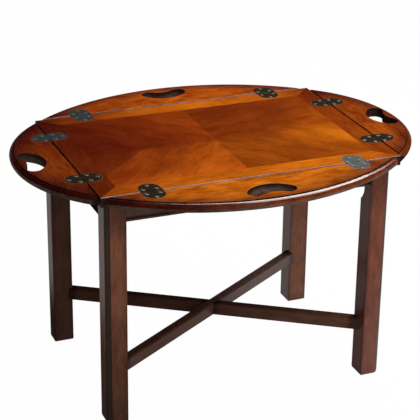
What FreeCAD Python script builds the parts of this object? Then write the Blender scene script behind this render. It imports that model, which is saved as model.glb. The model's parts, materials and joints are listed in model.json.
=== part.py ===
"""Butlers tray table: an oval top with four hinged leaves on a low stand with a crossed stretcher.

The top is a rectangular tray whose leaves fold up on flush hinges, and the tray lifts off the stand.
Millimetres, +X along the oval's length, +Y to the back, +Z up; the origin is on the floor below the
middle of the top.
"""
import FreeCAD
import Part
import Sketcher
import math
import os
import re

# Driving dimensions: sheet alias, value, what it measures
SIZES = [
    ("table_height", 470, "floor to the polished top"),
    ("top_thick", 19, "tray and leaf boards"),
    ("tray_length", 591, "fixed rectangle between the end leaves"),
    ("tray_width", 415, "fixed rectangle between the side leaves"),
    ("side_leaf", 110, "tray side to the middle of a side leaf's rim"),
    ("end_leaf", 99.5, "tray end to the middle of an end leaf's rim"),
    ("veneer_thick", 1.2, "sawn veneer on the tray"),
    ("band_width", 41, "crossbanding round the tray"),
    ("rim_width", 9, "thumbnail moulding, from the top surface out to the edge"),
    ("rim_quirk", 1.5, "step above the thumbnail"),
    ("rim_drop", 6.5, "height of the thumbnail"),
    ("rim_flat", 1, "upright flat between the thumbnail and the rounding below it"),
    ("seam_arris", 0.8, "softened edge along each seam"),
    ("tip_room", 2.5, "between the tips of two leaves when both stand up"),
    ("hole_length", 94, "hand hole, end to end"),
    ("hole_end_radius", 15, "rounded ends of a hand hole"),
    ("hole_crown", 25, "centre of the crown arc below the line of the ends"),
    ("hole_bump", 48, "centre of the bump arc below the line of the ends"),
    ("hole_side_rim", 39.7, "line of the ends to the rim, side leaf"),
    ("hole_end_rim", 29.2, "line of the ends to the rim, end leaf"),
    ("hole_round", 1, "softened edge of a hand hole"),
    ("hinge_side_inset", 94.5, "tray corner to the hinge of a side leaf"),
    ("hinge_end_inset", 97.5, "tray corner to the hinge of an end leaf"),
    ("plate_width", 42, "hinge plate along the seam"),
    ("plate_reach", 35, "hinge plate from the pin to its round end"),
    ("plate_thick", 3, "hinge plate"),
    ("plate_notch", 2, "waist of the hinge at the pin"),
    ("plate_room", 0.3, "plate edge to the other plate's knuckle"),
    ("knuckle_radius", 2.3, "barrel, flush with the top"),
    ("knuckle_middle", 16, "leaf plate's knuckle, in the middle of the pin"),
    ("knuckle_gap", 0.3, "between knuckles along the pin"),
    ("knuckle_room", 0.4, "leaf board to the barrel"),
    ("edge_gap", 0.3, "tray edge to the pin's axis"),
    ("pin_radius", 1.2, "hinge pin"),
    ("pin_fit", 0.05, "running clearance round the pin"),
    ("mortise_fit", 0.1, "hinge plate in its mortise"),
    ("spring_width", 8, "flat spring below a tray plate"),
    ("spring_length", 17, "flat spring from the knuckle"),
    ("spring_thick", 0.6, "flat spring"),
    ("screw_head", 3.5, "radius of a countersunk head"),
    ("screw_rim", 0.3, "straight rim of the head"),
    ("screw_shank", 1.5, "radius of the shank"),
    ("screw_tip", 0.5, "radius at the point"),
    ("screw_point", 3, "tapered stretch at the point"),
    ("screw_fit", 0.1, "clearance round a screw"),
    ("hinge_screw_length", 13, "hinge screw"),
    ("lap_screw_length", 18, "screw through the crossing of the stretchers"),
    ("screw_side", 13, "side screws from the plate's middle"),
    ("screw_near", 10, "side screws from the pin"),
    ("screw_far", 27, "end screw from the pin"),
    ("leg_size", 40, "square leg"),
    ("leg_inset_end", 11.5, "tray end to the leg's outer face"),
    ("leg_inset_side", 13.5, "tray side to the leg's outer face"),
    ("leg_mould", 8, "moulded corner along each face"),
    ("leg_quirk", 1.5, "quirk beside the moulded corner"),
    ("chamfer_width", 12.5, "inner corner planed off for the corner block"),
    ("chamfer_drop", 56, "flat of the chamfer below the leg's top"),
    ("chamfer_sweep", 40, "radius of its run-out"),
    ("rail_height", 42, "rail below the tray"),
    ("rail_thick", 19, "rail"),
    ("rail_setback", 3, "rail behind the leg's face"),
    ("bead_size", 5, "bead along the rail's lower edge"),
    ("bead_quirk", 1.2, "quirk above the bead"),
    ("stretcher_top", 118, "floor to the top of the crossed stretcher"),
    ("stretcher_width", 20, "stretcher"),
    ("stretcher_height", 24, "stretcher"),
    ("stretcher_arris", 2.5, "chamfer along its upper edges"),
    ("stretcher_stop", 8, "stretcher's end short of the leg's centre"),
    ("block_side", 40, "corner block along each rail"),
    ("block_height", 32, "corner block"),
    ("block_drop", 4, "corner block below the tray"),
    ("block_gap", 2, "corner block to the leg's chamfer"),
    ("block_screw_place", 14, "block screw from the block's near end"),
    ("block_screw_grip", 16, "wood below a block screw's head"),
    ("block_screw_bite", 12, "block screw in the rail"),
    ("block_screw_head", 3.8, "radius of the head"),
    ("block_screw_cap", 2.5, "height of the head"),
    ("block_screw_shank", 2, "radius of the shank"),
    ("bolt_radius", 3, "hanger bolt"),
    ("bolt_in_leg", 22, "hanger bolt in the leg"),
    ("bolt_tail", 9, "hanger bolt past the block"),
    ("bolt_fit", 0.2, "clearance round a hanger bolt"),
    ("washer_radius", 8, "washer"),
    ("washer_thick", 1.5, "washer"),
    ("nut_radius", 5.8, "nut, centre to corner"),
    ("nut_thick", 5, "nut"),
    ("peg_radius", 5, "dowel that locates the tray"),
    ("peg_in_leg", 10, "dowel in the leg"),
    ("peg_stand", 8, "dowel above the leg"),
    ("peg_fit", 0.05, "dowel in the leg, all round"),
    ("peg_room", 0.4, "dowel in the tray, all round and above"),
]

# Lines and places that several pieces share, worked out from the driving dimensions
UNDERSIDE = "(table_height - top_thick)"
VENEER_BED = "(table_height - veneer_thick)"
HALF_LENGTH = "(tray_length / 2)"
HALF_WIDTH = "(tray_width / 2)"
LEAF_EDGE = "(knuckle_radius + knuckle_room)"
PLATE_EDGE = "(knuckle_radius + plate_room)"
PLATE_ROUND = "(plate_reach - plate_width / 2)"
LEG_OUT_X = "(tray_length / 2 - leg_inset_end)"
LEG_OUT_Y = "(tray_width / 2 - leg_inset_side)"
LEG_X = "(tray_length / 2 - leg_inset_end - leg_size / 2)"
LEG_Y = "(tray_width / 2 - leg_inset_side - leg_size / 2)"
RAIL_IN = "(rail_setback + rail_thick)"
RIM_ARC = "((rim_width ^ 2 + rim_drop ^ 2) / (2 * rim_drop))"
RIM_UNDER = "(top_thick - rim_quirk - rim_drop - rim_flat)"
HOLE_ENDS = "(hole_length / 2 - hole_end_radius)"
HOLE_TO_CROWN = f"sqrt({HOLE_ENDS} ^ 2 + hole_crown ^ 2)"
HOLE_TO_BUMP = f"sqrt({HOLE_ENDS} ^ 2 + hole_bump ^ 2)"
# Where the flat of the leg's chamfer crosses the leg's diagonal, along X and along Y
CHAMFER_AT = "(leg_size - chamfer_width / 2)"
# The corner block's near face, along each rail from the point where their inner faces would meet
BLOCK_NEAR = "(2 * (leg_size - rail_setback - rail_thick) - chamfer_width + block_gap * sqrt(2))"
BLOCK_FAR = f"({BLOCK_NEAR} + block_side)"
BLOCK_MIDDLE = "(table_height - top_thick - block_drop - block_height / 2)"

# Corner name, its signs along X and Y, and the turn that brings the front left piece there
CORNERS = [
    ("front_left", -1, -1, 0),
    ("front_right", 1, -1, 90),
    ("back_right", 1, 1, 180),
    ("back_left", -1, 1, 270),
]

# Leaf name, the turn that brings local +Y outward, and its hinges at local -X and +X
LEAVES = [
    ("back", 0, ("back_left", "back_right")),
    ("left", 90, ("left_front", "left_back")),
    ("front", 180, ("front_right", "front_left")),
    ("right", 270, ("right_back", "right_front")),
]

# The two kinds of seam: tray half along it and across it, the leaf's reach, its hinges and its hole
SIDE_SEAM = {
    "along": HALF_LENGTH,
    "across": HALF_WIDTH,
    "pin": f"({HALF_WIDTH} + edge_gap)",
    "crown": f"({HALF_WIDTH} + side_leaf)",
    "reach": "side_leaf",
    "hinge": f"({HALF_LENGTH} - hinge_side_inset)",
    "hole": f"({HALF_WIDTH} + side_leaf - hole_side_rim)",
}
END_SEAM = {
    "along": HALF_WIDTH,
    "across": HALF_LENGTH,
    "pin": f"({HALF_LENGTH} + edge_gap)",
    "crown": f"({HALF_LENGTH} + end_leaf)",
    "reach": "end_leaf",
    "hinge": f"({HALF_WIDTH} - hinge_end_inset)",
    "hole": f"({HALF_LENGTH} + end_leaf - hole_end_rim)",
}

UP = FreeCAD.Vector(0, 0, 1)
# A section drawn with x inward and y up, run along +X
ALONG_X = FreeCAD.Rotation(FreeCAD.Vector(0, 1, 0), UP, FreeCAD.Vector(1, 0, 0), "ZXY")
HEAD_DOWN = FreeCAD.Rotation(FreeCAD.Vector(1, 0, 0), 180)
# How near an edge must lie to a line to be taken as lying on it
TOUCH = 1e-4

doc = FreeCAD.newDocument("butlers_tray_table")
dims = doc.addObject("Spreadsheet::Sheet", "dims")
for row, (alias, number, meaning) in enumerate(SIZES, 1):
    dims.set(f"A{row}", meaning)
    dims.set(f"B{row}", str(number))
    dims.setAlias(f"B{row}", alias)
doc.recompute()

nodes = {}


def size(formula):
    """Expression over the sheet: each alias in the formula gets the sheet's name in front."""
    return re.sub(r"(?<![.\w])[a-z]+_[a-z_]+", lambda alias: "dims." + alias.group(), formula)


def value(formula):
    """Number that a formula gives."""
    return float(dims.evalExpression(size(formula)))


def keep(name, piece):
    """Name a finished sub-part: its label is its file's name."""
    piece.Label = name
    nodes[name] = piece


def seam_of(turn):
    return SIDE_SEAM if turn % 180 == 0 else END_SEAM


def about_z(degrees):
    return FreeCAD.Rotation(UP, degrees)


def turned(degrees, x, y):
    """Formulas of the point (x, y) after a number of quarter turns about Z."""
    return {0: (x, y), 90: (f"-({y})", x), 180: (f"-({x})", f"-({y})"), 270: (y, f"-({x})")}[degrees]


def place(piece, x, y, z, rotation=None):
    """Bind a piece's position to formulas, after an optional fixed rotation."""
    if rotation is not None:
        piece.Placement = FreeCAD.Placement(FreeCAD.Vector(), rotation)
    for axis, formula in zip("xyz", (x, y, z)):
        piece.setExpression(f"Placement.Base.{axis}", size(formula))
    return piece


def box(name, x, y, z):
    """Block between a low and a high formula on each axis."""
    block = doc.addObject("Part::Box", name)
    for side, (low, high) in zip(("Length", "Width", "Height"), (x, y, z)):
        block.setExpression(side, size(f"({high}) - ({low})"))
    return place(block, x[0], y[0], z[0])


def rod(name, radius, length, x, y, z, direction=(0, 0, 1)):
    """Cylinder from a point along a fixed direction."""
    cylinder = doc.addObject("Part::Cylinder", name)
    cylinder.setExpression("Radius", size(radius))
    cylinder.setExpression("Height", size(length))
    return place(cylinder, x, y, z, FreeCAD.Rotation(UP, FreeCAD.Vector(*direction)))


def fuse(name, pieces):
    union = doc.addObject("Part::MultiFuse", name)
    union.Shapes = pieces
    return union


def cut(name, base, tools):
    """Base less every tool."""
    result = doc.addObject("Part::Cut", name)
    result.Base = base
    result.Tool = tools[0] if len(tools) == 1 else fuse(name + "_tools", tools)
    return result


def common(name, first, second):
    result = doc.addObject("Part::Common", name)
    result.Base = first
    result.Tool = second
    return result


def gather(name, pieces):
    """Several solids, or a placed copy of one, as one object."""
    together = doc.addObject("Part::Compound", name)
    together.Links = pieces
    return together


def copy(name, master, x, y, z, rotation):
    """The master solid again at another place."""
    return place(gather(name, [master]), x, y, z, rotation)


def draw(sketch, corners):
    """Closed outline whose corners are bound to formulas.

    A corner is (x, y), or (x, y, radius, turn) where the stretch to the next corner is an arc of that
    radius that turns "left" or "right" on its way.
    """
    points = [FreeCAD.Vector(value(corner[0]), value(corner[1]), 0) for corner in corners]
    ends = []
    for index, corner in enumerate(corners):
        start = points[index]
        finish = points[(index + 1) % len(points)]
        if len(corner) == 2:
            edge = sketch.addGeometry(Part.LineSegment(start, finish), False)
            ends.append((edge, 1, 2))
            continue
        radius = value(corner[2])
        left = corner[3] == "left"
        chord = finish - start
        aside = FreeCAD.Vector(-chord.y, chord.x, 0).normalize() * (1 if left else -1)
        centre = (start + finish) / 2 + aside * math.sqrt(radius ** 2 - (chord.Length / 2) ** 2)
        first, last = (start, finish) if left else (finish, start)
        angles = [math.atan2((point - centre).y, (point - centre).x) for point in (first, last)]
        circle = Part.Circle(centre, UP, radius)
        edge = sketch.addGeometry(Part.ArcOfCircle(circle, *angles), False)
        ends.append((edge, 1, 2) if left else (edge, 2, 1))
        bound = sketch.addConstraint(Sketcher.Constraint("Radius", edge, radius))
        sketch.setExpression(f"Constraints[{bound}]", size(corner[2]))
    for index, (edge, start, finish) in enumerate(ends):
        following, follow_start, _ = ends[(index + 1) % len(ends)]
        sketch.addConstraint(Sketcher.Constraint("Coincident", edge, finish, following, follow_start))
        for kind, formula in zip(("DistanceX", "DistanceY"), corners[index]):
            bound = sketch.addConstraint(Sketcher.Constraint(kind, -1, 1, edge, start, value(formula)))
            sketch.setExpression(f"Constraints[{bound}]", size(formula))


def outlined(name, plane, corners):
    """Body with one bound outline on an origin plane."""
    body = doc.addObject("PartDesign::Body", name)
    outline = body.newObject("Sketcher::SketchObject", name + "_outline")
    support = [feature for feature in body.Origin.OriginFeatures if feature.Role == plane]
    outline.AttachmentSupport = (support[0], [""])
    outline.MapMode = "FlatFace"
    draw(outline, corners)
    return body, outline


def padded(name, corners, length, down=False):
    """Body of one outline in the XY plane, padded up, or down from z = 0."""
    body, outline = outlined(name, "XY_Plane", corners)
    pad = body.newObject("PartDesign::Pad", name + "_pad")
    pad.Profile = outline
    pad.setExpression("Length", size(length))
    pad.Reversed = down
    return body


def revolved(name, corners):
    """Body of one half-section, x outward and y up, turned about Z."""
    body, outline = outlined(name, "XZ_Plane", corners)
    revolution = body.newObject("PartDesign::Revolution", name + "_turn")
    revolution.Profile = outline
    revolution.ReferenceAxis = (outline, ["V_Axis"])
    revolution.Angle = 360
    return body


def rounded(name, base, radius, wanted):
    """Fillet along the edges of base whose middle point passes a test."""
    doc.recompute()
    edges = []
    for number, edge in enumerate(base.Shape.Edges, 1):
        if wanted(edge.valueAt((edge.FirstParameter + edge.LastParameter) / 2)):
            edges.append((number, value(radius), value(radius)))
    fillet = doc.addObject("Part::Fillet", name)
    fillet.Base = base
    fillet.Edges = edges
    return fillet


def same(number, formula):
    return abs(number - value(formula)) < TOUCH


# Screws: countersunk head up at z = 0, shank and point

def screw(name, length, fit="0"):
    """Wood screw, or the hole for one where fit gives the clearance round it."""
    return revolved(name, [
        ("0", "0"),
        (f"screw_head + {fit}", "0"),
        (f"screw_head + {fit}", "-screw_rim"),
        (f"screw_shank + {fit}", "-(screw_rim + screw_head - screw_shank)"),
        (f"screw_shank + {fit}", f"-({length} - screw_point)"),
        (f"screw_tip + {fit}", f"-{length}"),
        ("0", f"-{length}"),
    ])


# Crossed stretcher: two bars halved together at the middle, housed in the legs' inner corners

def stretcher_bar(name, sign):
    """Bar with chamfered upper edges, made along X and then turned to a diagonal of the stand."""
    half_length = f"(sqrt({LEG_X} ^ 2 + {LEG_Y} ^ 2) - stretcher_stop)"
    bar = padded(name + "_bar", [
        ("-stretcher_width / 2", "-stretcher_height"),
        ("stretcher_width / 2", "-stretcher_height"),
        ("stretcher_width / 2", "-stretcher_arris"),
        ("stretcher_width / 2 - stretcher_arris", "0"),
        ("stretcher_arris - stretcher_width / 2", "0"),
        ("-stretcher_width / 2", "-stretcher_arris"),
    ], f"2 * {half_length}")
    place(bar, f"-{half_length}", "0", "stretcher_top", ALONG_X)
    diagonal = gather(name + "_diagonal", [bar])
    diagonal.setExpression("Placement.Rotation.Angle", size(f"{sign} * atan({LEG_Y} / {LEG_X})"))
    return diagonal


def make_stretchers():
    """The bar from front left to back right passes over the other, each halved where they cross."""
    over = stretcher_bar("stretcher_over", 1)
    under = stretcher_bar("stretcher_under", -1)
    bottom = "(stretcher_top - stretcher_height)"
    half = "(stretcher_top - stretcher_height / 2)"
    wide = ("-2 * stretcher_width", "2 * stretcher_width")
    upper_half = box("lap_upper_half", wide, wide, (half, "stretcher_top"))
    lower_half = box("lap_lower_half", wide, wide, (bottom, half))
    over_lap = common("stretcher_over_lap", under, lower_half)
    under_lap = common("stretcher_under_lap", over, upper_half)
    hole = place(screw("lap_screw_hole", "lap_screw_length", "screw_fit"), "0", "0", bottom, HEAD_DOWN)
    keep("stretcher_over", cut("stretcher_over", over, [over_lap, hole]))
    keep("stretcher_under", cut("stretcher_under", under, [under_lap, hole]))
    keep("lap_screw", place(screw("lap_screw", "lap_screw_length"), "0", "0", bottom, HEAD_DOWN))


# Legs: square, with a moulded outer corner and the inner corner planed off at the top

def on_diagonal(sign_x, sign_y, inward):
    """Point on a leg's diagonal, a distance inward from the leg's outer corner along X and along Y."""
    return f"{sign_x} * ({LEG_OUT_X} - {inward})", f"{sign_y} * ({LEG_OUT_Y} - {inward})"


def leg_master():
    """Leg with its outer corner at the origin, the stretcher's housing still to be cut."""
    blank = padded("leg_blank", [
        ("leg_mould", "0"),
        ("leg_mould", "leg_quirk", "leg_mould - leg_quirk", "right"),
        ("leg_quirk", "leg_mould"),
        ("0", "leg_mould"),
        ("0", "leg_size"),
        ("leg_size", "leg_size"),
        ("leg_size", "0"),
    ], UNDERSIDE)
    start = f"({UNDERSIDE} - chamfer_drop)"
    aside = "(chamfer_width / sqrt(2))"
    flat = box("leg_chamfer_flat", ("0", "chamfer_width"), ("0", "2 * chamfer_width"),
               ("0", "chamfer_drop"))
    place(flat, f"{CHAMFER_AT} + {aside}", f"{CHAMFER_AT} - {aside}", start, about_z(45))
    out = f"({CHAMFER_AT} + chamfer_sweep / sqrt(2))"
    run_out = rod("leg_chamfer_run_out", "chamfer_sweep", "2 * chamfer_width",
                  f"{out} + {aside}", f"{out} - {aside}", start, (-1, 1, 0))
    peg_hole = rod("leg_peg_hole", "peg_radius + peg_fit", "peg_in_leg", "leg_size / 2", "leg_size / 2",
                   f"{UNDERSIDE} - peg_in_leg")
    bolt_end = f"({CHAMFER_AT} - bolt_in_leg / sqrt(2))"
    bolt_hole = rod("leg_bolt_hole", "bolt_radius + bolt_fit", "bolt_in_leg + chamfer_width",
                    bolt_end, bolt_end, BLOCK_MIDDLE, (1, 1, 0))
    return cut("leg_shaped", blank, [flat, run_out, peg_hole, bolt_hole])


def make_legs():
    master = leg_master()
    pegs = []
    for name, sign_x, sign_y, turn in CORNERS:
        outer_corner = on_diagonal(sign_x, sign_y, "0")
        standing = copy(f"leg_{name}_standing", master, *outer_corner, "0", about_z(turn))
        bar = nodes["stretcher_over" if sign_x == sign_y else "stretcher_under"]
        keep(f"leg_{name}", cut(f"leg_{name}", standing, [bar]))
        pegs.append(rod(f"peg_{name}", "peg_radius", "peg_in_leg + peg_stand",
                        *on_diagonal(sign_x, sign_y, "leg_size / 2"), f"{UNDERSIDE} - peg_in_leg"))
    keep("tray_pegs", gather("tray_pegs", pegs))


# Corner blocks: screwed to both rails, and drawn to the leg by a hanger bolt with washer and nut

def block_screws(name, sign_x, sign_y):
    """For each rail at a corner: where the screw's head seats, and which way the screw points."""
    side, end = name.split("_")
    along = f"({RAIL_IN} + {BLOCK_NEAR} + block_screw_place)"
    seat = f"({RAIL_IN} + block_screw_grip)"
    return {
        side: (f"{sign_x} * ({LEG_OUT_X} - {along})", f"{sign_y} * ({LEG_OUT_Y} - {seat})", (0, sign_y, 0)),
        end: (f"{sign_x} * ({LEG_OUT_X} - {seat})", f"{sign_y} * ({LEG_OUT_Y} - {along})", (sign_x, 0, 0)),
    }


def make_corner_blocks():
    """Blocks and their fasteners; gives the screw holes to be bored in each rail."""
    blank = padded("corner_block_blank", [
        ("0", BLOCK_NEAR),
        (BLOCK_NEAR, "0"),
        (BLOCK_FAR, "0"),
        ("0", BLOCK_FAR),
    ], "block_height")
    rail_holes = {name: [] for name, *_ in LEAVES}
    bolts, washers, nuts, screws = [], [], [], []
    block_face = f"({RAIL_IN} + {BLOCK_FAR} / 2)"
    for name, sign_x, sign_y, turn in CORNERS:
        inner_corner = on_diagonal(sign_x, sign_y, RAIL_IN)
        standing = copy(f"corner_block_{name}_standing", blank, *inner_corner,
                        f"{BLOCK_MIDDLE} - block_height / 2", about_z(turn))
        inward = (-sign_x, -sign_y, 0)
        bolt_end = on_diagonal(sign_x, sign_y, f"({CHAMFER_AT} - bolt_in_leg / sqrt(2))")
        reach = f"({block_face} * sqrt(2) - {CHAMFER_AT} * sqrt(2) + bolt_in_leg + bolt_tail)"
        bolts.append(rod(f"bolt_{name}", "bolt_radius", reach, *bolt_end, BLOCK_MIDDLE, inward))
        holes = [rod(f"bolt_hole_{name}", "bolt_radius + bolt_fit", reach, *bolt_end, BLOCK_MIDDLE, inward)]
        face = on_diagonal(sign_x, sign_y, block_face)
        disc = rod(f"washer_{name}_disc", "washer_radius", "washer_thick", *face, BLOCK_MIDDLE, inward)
        washers.append(cut(f"washer_{name}", disc, holes))
        on_washer = on_diagonal(sign_x, sign_y, f"({block_face} + washer_thick / sqrt(2))")
        hexagon = doc.addObject("Part::Prism", f"nut_{name}_hexagon")
        hexagon.Polygon = 6
        hexagon.setExpression("Circumradius", size("nut_radius"))
        hexagon.setExpression("Height", size("nut_thick"))
        place(hexagon, *on_washer, BLOCK_MIDDLE, FreeCAD.Rotation(UP, FreeCAD.Vector(*inward)))
        nuts.append(cut(f"nut_{name}", hexagon, holes))
        for rail, (x, y, direction) in block_screws(name, sign_x, sign_y).items():
            mark = f"{name}_{rail}"
            seat = (x, y, BLOCK_MIDDLE)
            back = tuple(-step for step in direction)
            deep = "block_screw_grip + block_screw_bite"
            hole = rod(f"block_screw_hole_{mark}", "block_screw_shank + screw_fit", deep, *seat, direction)
            sink = rod(f"block_screw_sink_{mark}", "block_screw_head + screw_fit", "block_side",
                       *seat, back)
            holes += [hole, sink]
            rail_holes[rail].append(hole)
            shank = rod(f"block_screw_shank_{mark}", "block_screw_shank", deep, *seat, direction)
            head = rod(f"block_screw_head_{mark}", "block_screw_head", "block_screw_cap", *seat, back)
            screws.append(fuse(f"block_screw_{mark}", [shank, head]))
        keep(f"corner_block_{name}", cut(f"corner_block_{name}", standing, holes))
    for name, pieces in (("hanger_bolts", bolts), ("bolt_washers", washers), ("bolt_nuts", nuts),
                         ("block_screws", screws)):
        keep(name, gather(name, pieces))
    return rail_holes


# Rails: beaded along the lower edge, butted between the legs under the tray

def make_rails(rail_holes):
    for name, turn, _ in LEAVES:
        # The turn of a leaf faces outward, and a rail's section is drawn facing the front
        quarter = (turn + 180) % 360
        long_side = turn % 180 == 0
        half_span = f"({LEG_OUT_X if long_side else LEG_OUT_Y} - leg_size)"
        face = f"({LEG_OUT_Y if long_side else LEG_OUT_X} - rail_setback)"
        bar = padded(f"rail_{name}_bar", [
            ("bead_size / 2", "0", "bead_size / 2", "right"),
            ("0", "bead_size / 2", "bead_size / 2", "right"),
            ("bead_size / 2", "bead_size"),
            ("bead_size / 2", "bead_size + bead_quirk"),
            ("0", "bead_size + bead_quirk"),
            ("0", "rail_height"),
            ("rail_thick", "rail_height"),
            ("rail_thick", "0"),
        ], f"2 * {half_span}")
        start = turned(quarter, f"-{half_span}", f"-{face}")
        place(bar, *start, f"{UNDERSIDE} - rail_height", about_z(quarter) * ALONG_X)
        keep(f"rail_{name}", cut(f"rail_{name}", bar, rail_holes[name]))


# Hinges: each has its pin at local X, its plate towards local +Y and the top surface at z = 0

def screw_places():
    return [("-screw_side", "screw_near"), ("screw_side", "screw_near"), ("0", "screw_far")]


def hinge_plate(name, knuckles, screw_holes):
    """Flush plate with a round end, a waist at the pin, its own knuckles and three screw holes."""
    side = "(plate_width / 2)"
    waist = f"({side} - plate_notch)"
    plate = padded(name + "_flat", [
        (f"-{waist}", PLATE_EDGE),
        (waist, PLATE_EDGE),
        (side, f"{PLATE_EDGE} + plate_notch"),
        (side, PLATE_ROUND, side, "left"),
        ("0", "plate_reach", side, "left"),
        (f"-{side}", PLATE_ROUND),
        (f"-{side}", f"{PLATE_EDGE} + plate_notch"),
    ], "plate_thick", down=True)
    pieces = [plate]
    for number, (low, high) in enumerate(knuckles):
        pieces.append(box(f"{name}_web_{number}", (low, high), ("0", PLATE_EDGE), ("-plate_thick", "0")))
        pieces.append(rod(f"{name}_barrel_{number}", "knuckle_radius", f"({high}) - ({low})",
                          low, "0", "-knuckle_radius", (1, 0, 0)))
    bore = rod(name + "_bore", "pin_radius + pin_fit", "plate_width",
               f"-{side}", "0", "-knuckle_radius", (1, 0, 0))
    return cut(name, fuse(name + "_solid", pieces), [bore, screw_holes])


def hinge_masters():
    """One of each hinge piece, and the mortises that a tray plate and a leaf plate need in the wood."""
    hole = screw("hinge_screw_hole", "hinge_screw_length", "screw_fit")
    screw_holes = fuse("plate_screw_holes", [
        copy(f"plate_screw_hole_{number}", hole, x, y, "0", about_z(0))
        for number, (x, y) in enumerate(screw_places())])
    half_middle = "(knuckle_middle / 2)"
    outer = (f"{half_middle} + knuckle_gap", "plate_width / 2 - plate_notch")
    mirrored = (f"-({outer[1]})", f"-({outer[0]})")
    side = "(plate_width / 2 + mortise_fit)"
    flat = box("mortise_flat", (f"-{side}", side), (f"-{PLATE_EDGE}", PLATE_ROUND), ("-plate_thick", "0"))
    end = rod("mortise_round", side, "plate_thick", "0", PLATE_ROUND, "-plate_thick")
    barrel = rod("mortise_barrel", "knuckle_radius + plate_room", f"2 * {side}", f"-{side}", "0",
                 "-knuckle_radius", (1, 0, 0))
    half_spring = "(spring_width / 2)"
    spring_room = f"({half_spring} + mortise_fit)"
    spring_end = f"({PLATE_EDGE} + spring_length)"
    spring = box("hinge_spring_master", (f"-{half_spring}", half_spring), (PLATE_EDGE, spring_end),
                 ("-(plate_thick + spring_thick)", "-plate_thick"))
    spring_bed = box("mortise_spring", (f"-{spring_room}", spring_room),
                     ("0", f"{spring_end} + mortise_fit"),
                     ("-(plate_thick + spring_thick + mortise_fit)", "-plate_thick"))
    waist = "(plate_width / 2 - plate_notch)"
    pin = rod("hinge_pin_master", "pin_radius", f"2 * {waist}",
              f"-{waist}", "0", "-knuckle_radius", (1, 0, 0))
    return {
        "leaf_plate": hinge_plate("leaf_plate_master", [(f"-{half_middle}", half_middle)], screw_holes),
        "tray_plate": hinge_plate("tray_plate_master", [mirrored, outer], screw_holes),
        "pin": pin,
        "spring": spring,
        "screw": screw("hinge_screw_master", "hinge_screw_length"),
        "leaf_mortise": fuse("leaf_mortise", [flat, end, screw_holes]),
        "tray_mortise": fuse("tray_mortise", [flat, end, barrel, spring_bed, screw_holes]),
    }


def hinge_spots(seam):
    """The two hinges of a leaf, on its pin line at local -X and +X."""
    return [(f"-{seam['hinge']}", seam["pin"]), (seam["hinge"], seam["pin"])]


def make_hinges(masters):
    """Plates, pins, springs and screws of all eight hinges; gives the mortises to be cut in the tray."""
    pins, springs, tray_screws, mortises = [], [], [], []
    for leaf, turn, hinges in LEAVES:
        leaf_screws = []
        for hinge, spot in zip(hinges, hinge_spots(seam_of(turn))):
            at = (*turned(turn, *spot), "table_height")
            outward = about_z(turn)
            inward = about_z(turn + 180)
            keep(f"leaf_plate_{hinge}", copy(f"leaf_plate_{hinge}", masters["leaf_plate"], *at, outward))
            keep(f"tray_plate_{hinge}", copy(f"tray_plate_{hinge}", masters["tray_plate"], *at, inward))
            pins.append(copy(f"hinge_pin_{hinge}", masters["pin"], *at, outward))
            springs.append(copy(f"hinge_spring_{hinge}", masters["spring"], *at, inward))
            mortises.append(copy(f"tray_mortise_{hinge}", masters["tray_mortise"], *at, inward))
            for number, (x, y) in enumerate(screw_places()):
                spot_out = turned(turn, f"{spot[0]} + {x}", f"{spot[1]} + {y}")
                spot_in = turned(turn, f"{spot[0]} - ({x})", f"{spot[1]} - ({y})")
                leaf_screws.append(copy(f"leaf_screw_{hinge}_{number}", masters["screw"],
                                        *spot_out, "table_height", outward))
                tray_screws.append(copy(f"tray_screw_{hinge}_{number}", masters["screw"],
                                        *spot_in, "table_height", inward))
        keep(f"leaf_screws_{leaf}", gather(f"leaf_screws_{leaf}", leaf_screws))
    keep("hinge_pins", gather("hinge_pins", pins))
    keep("hinge_springs", gather("hinge_springs", springs))
    keep("tray_screws", gather("tray_screws", tray_screws))
    return mortises


# Leaves: boards with a thumbnail rim on one arc, a kidney-shaped hand hole and two hinge mortises

def hand_hole(name):
    """Kidney of tangent arcs: crown towards the tray at +Y, bump towards the rim, rounded ends."""
    crown_x = f"({HOLE_ENDS} * (1 + hole_end_radius / {HOLE_TO_CROWN}))"
    crown_y = f"hole_crown * hole_end_radius / {HOLE_TO_CROWN}"
    bump_x = f"({HOLE_ENDS} * (1 - hole_end_radius / {HOLE_TO_BUMP}))"
    bump_y = f"-hole_bump * hole_end_radius / {HOLE_TO_BUMP}"
    end_x = f"({HOLE_ENDS} + hole_end_radius / sqrt(2))"
    end_y = "-hole_end_radius / sqrt(2)"
    return padded(name, [
        (f"-{crown_x}", crown_y, "hole_end_radius", "left"),
        (f"-{end_x}", end_y, "hole_end_radius", "left"),
        (f"-{bump_x}", bump_y, f"{HOLE_TO_BUMP} - hole_end_radius", "right"),
        (bump_x, bump_y, "hole_end_radius", "left"),
        (end_x, end_y, "hole_end_radius", "left"),
        (crown_x, crown_y, f"{HOLE_TO_CROWN} + hole_end_radius", "left"),
    ], "top_thick")


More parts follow.
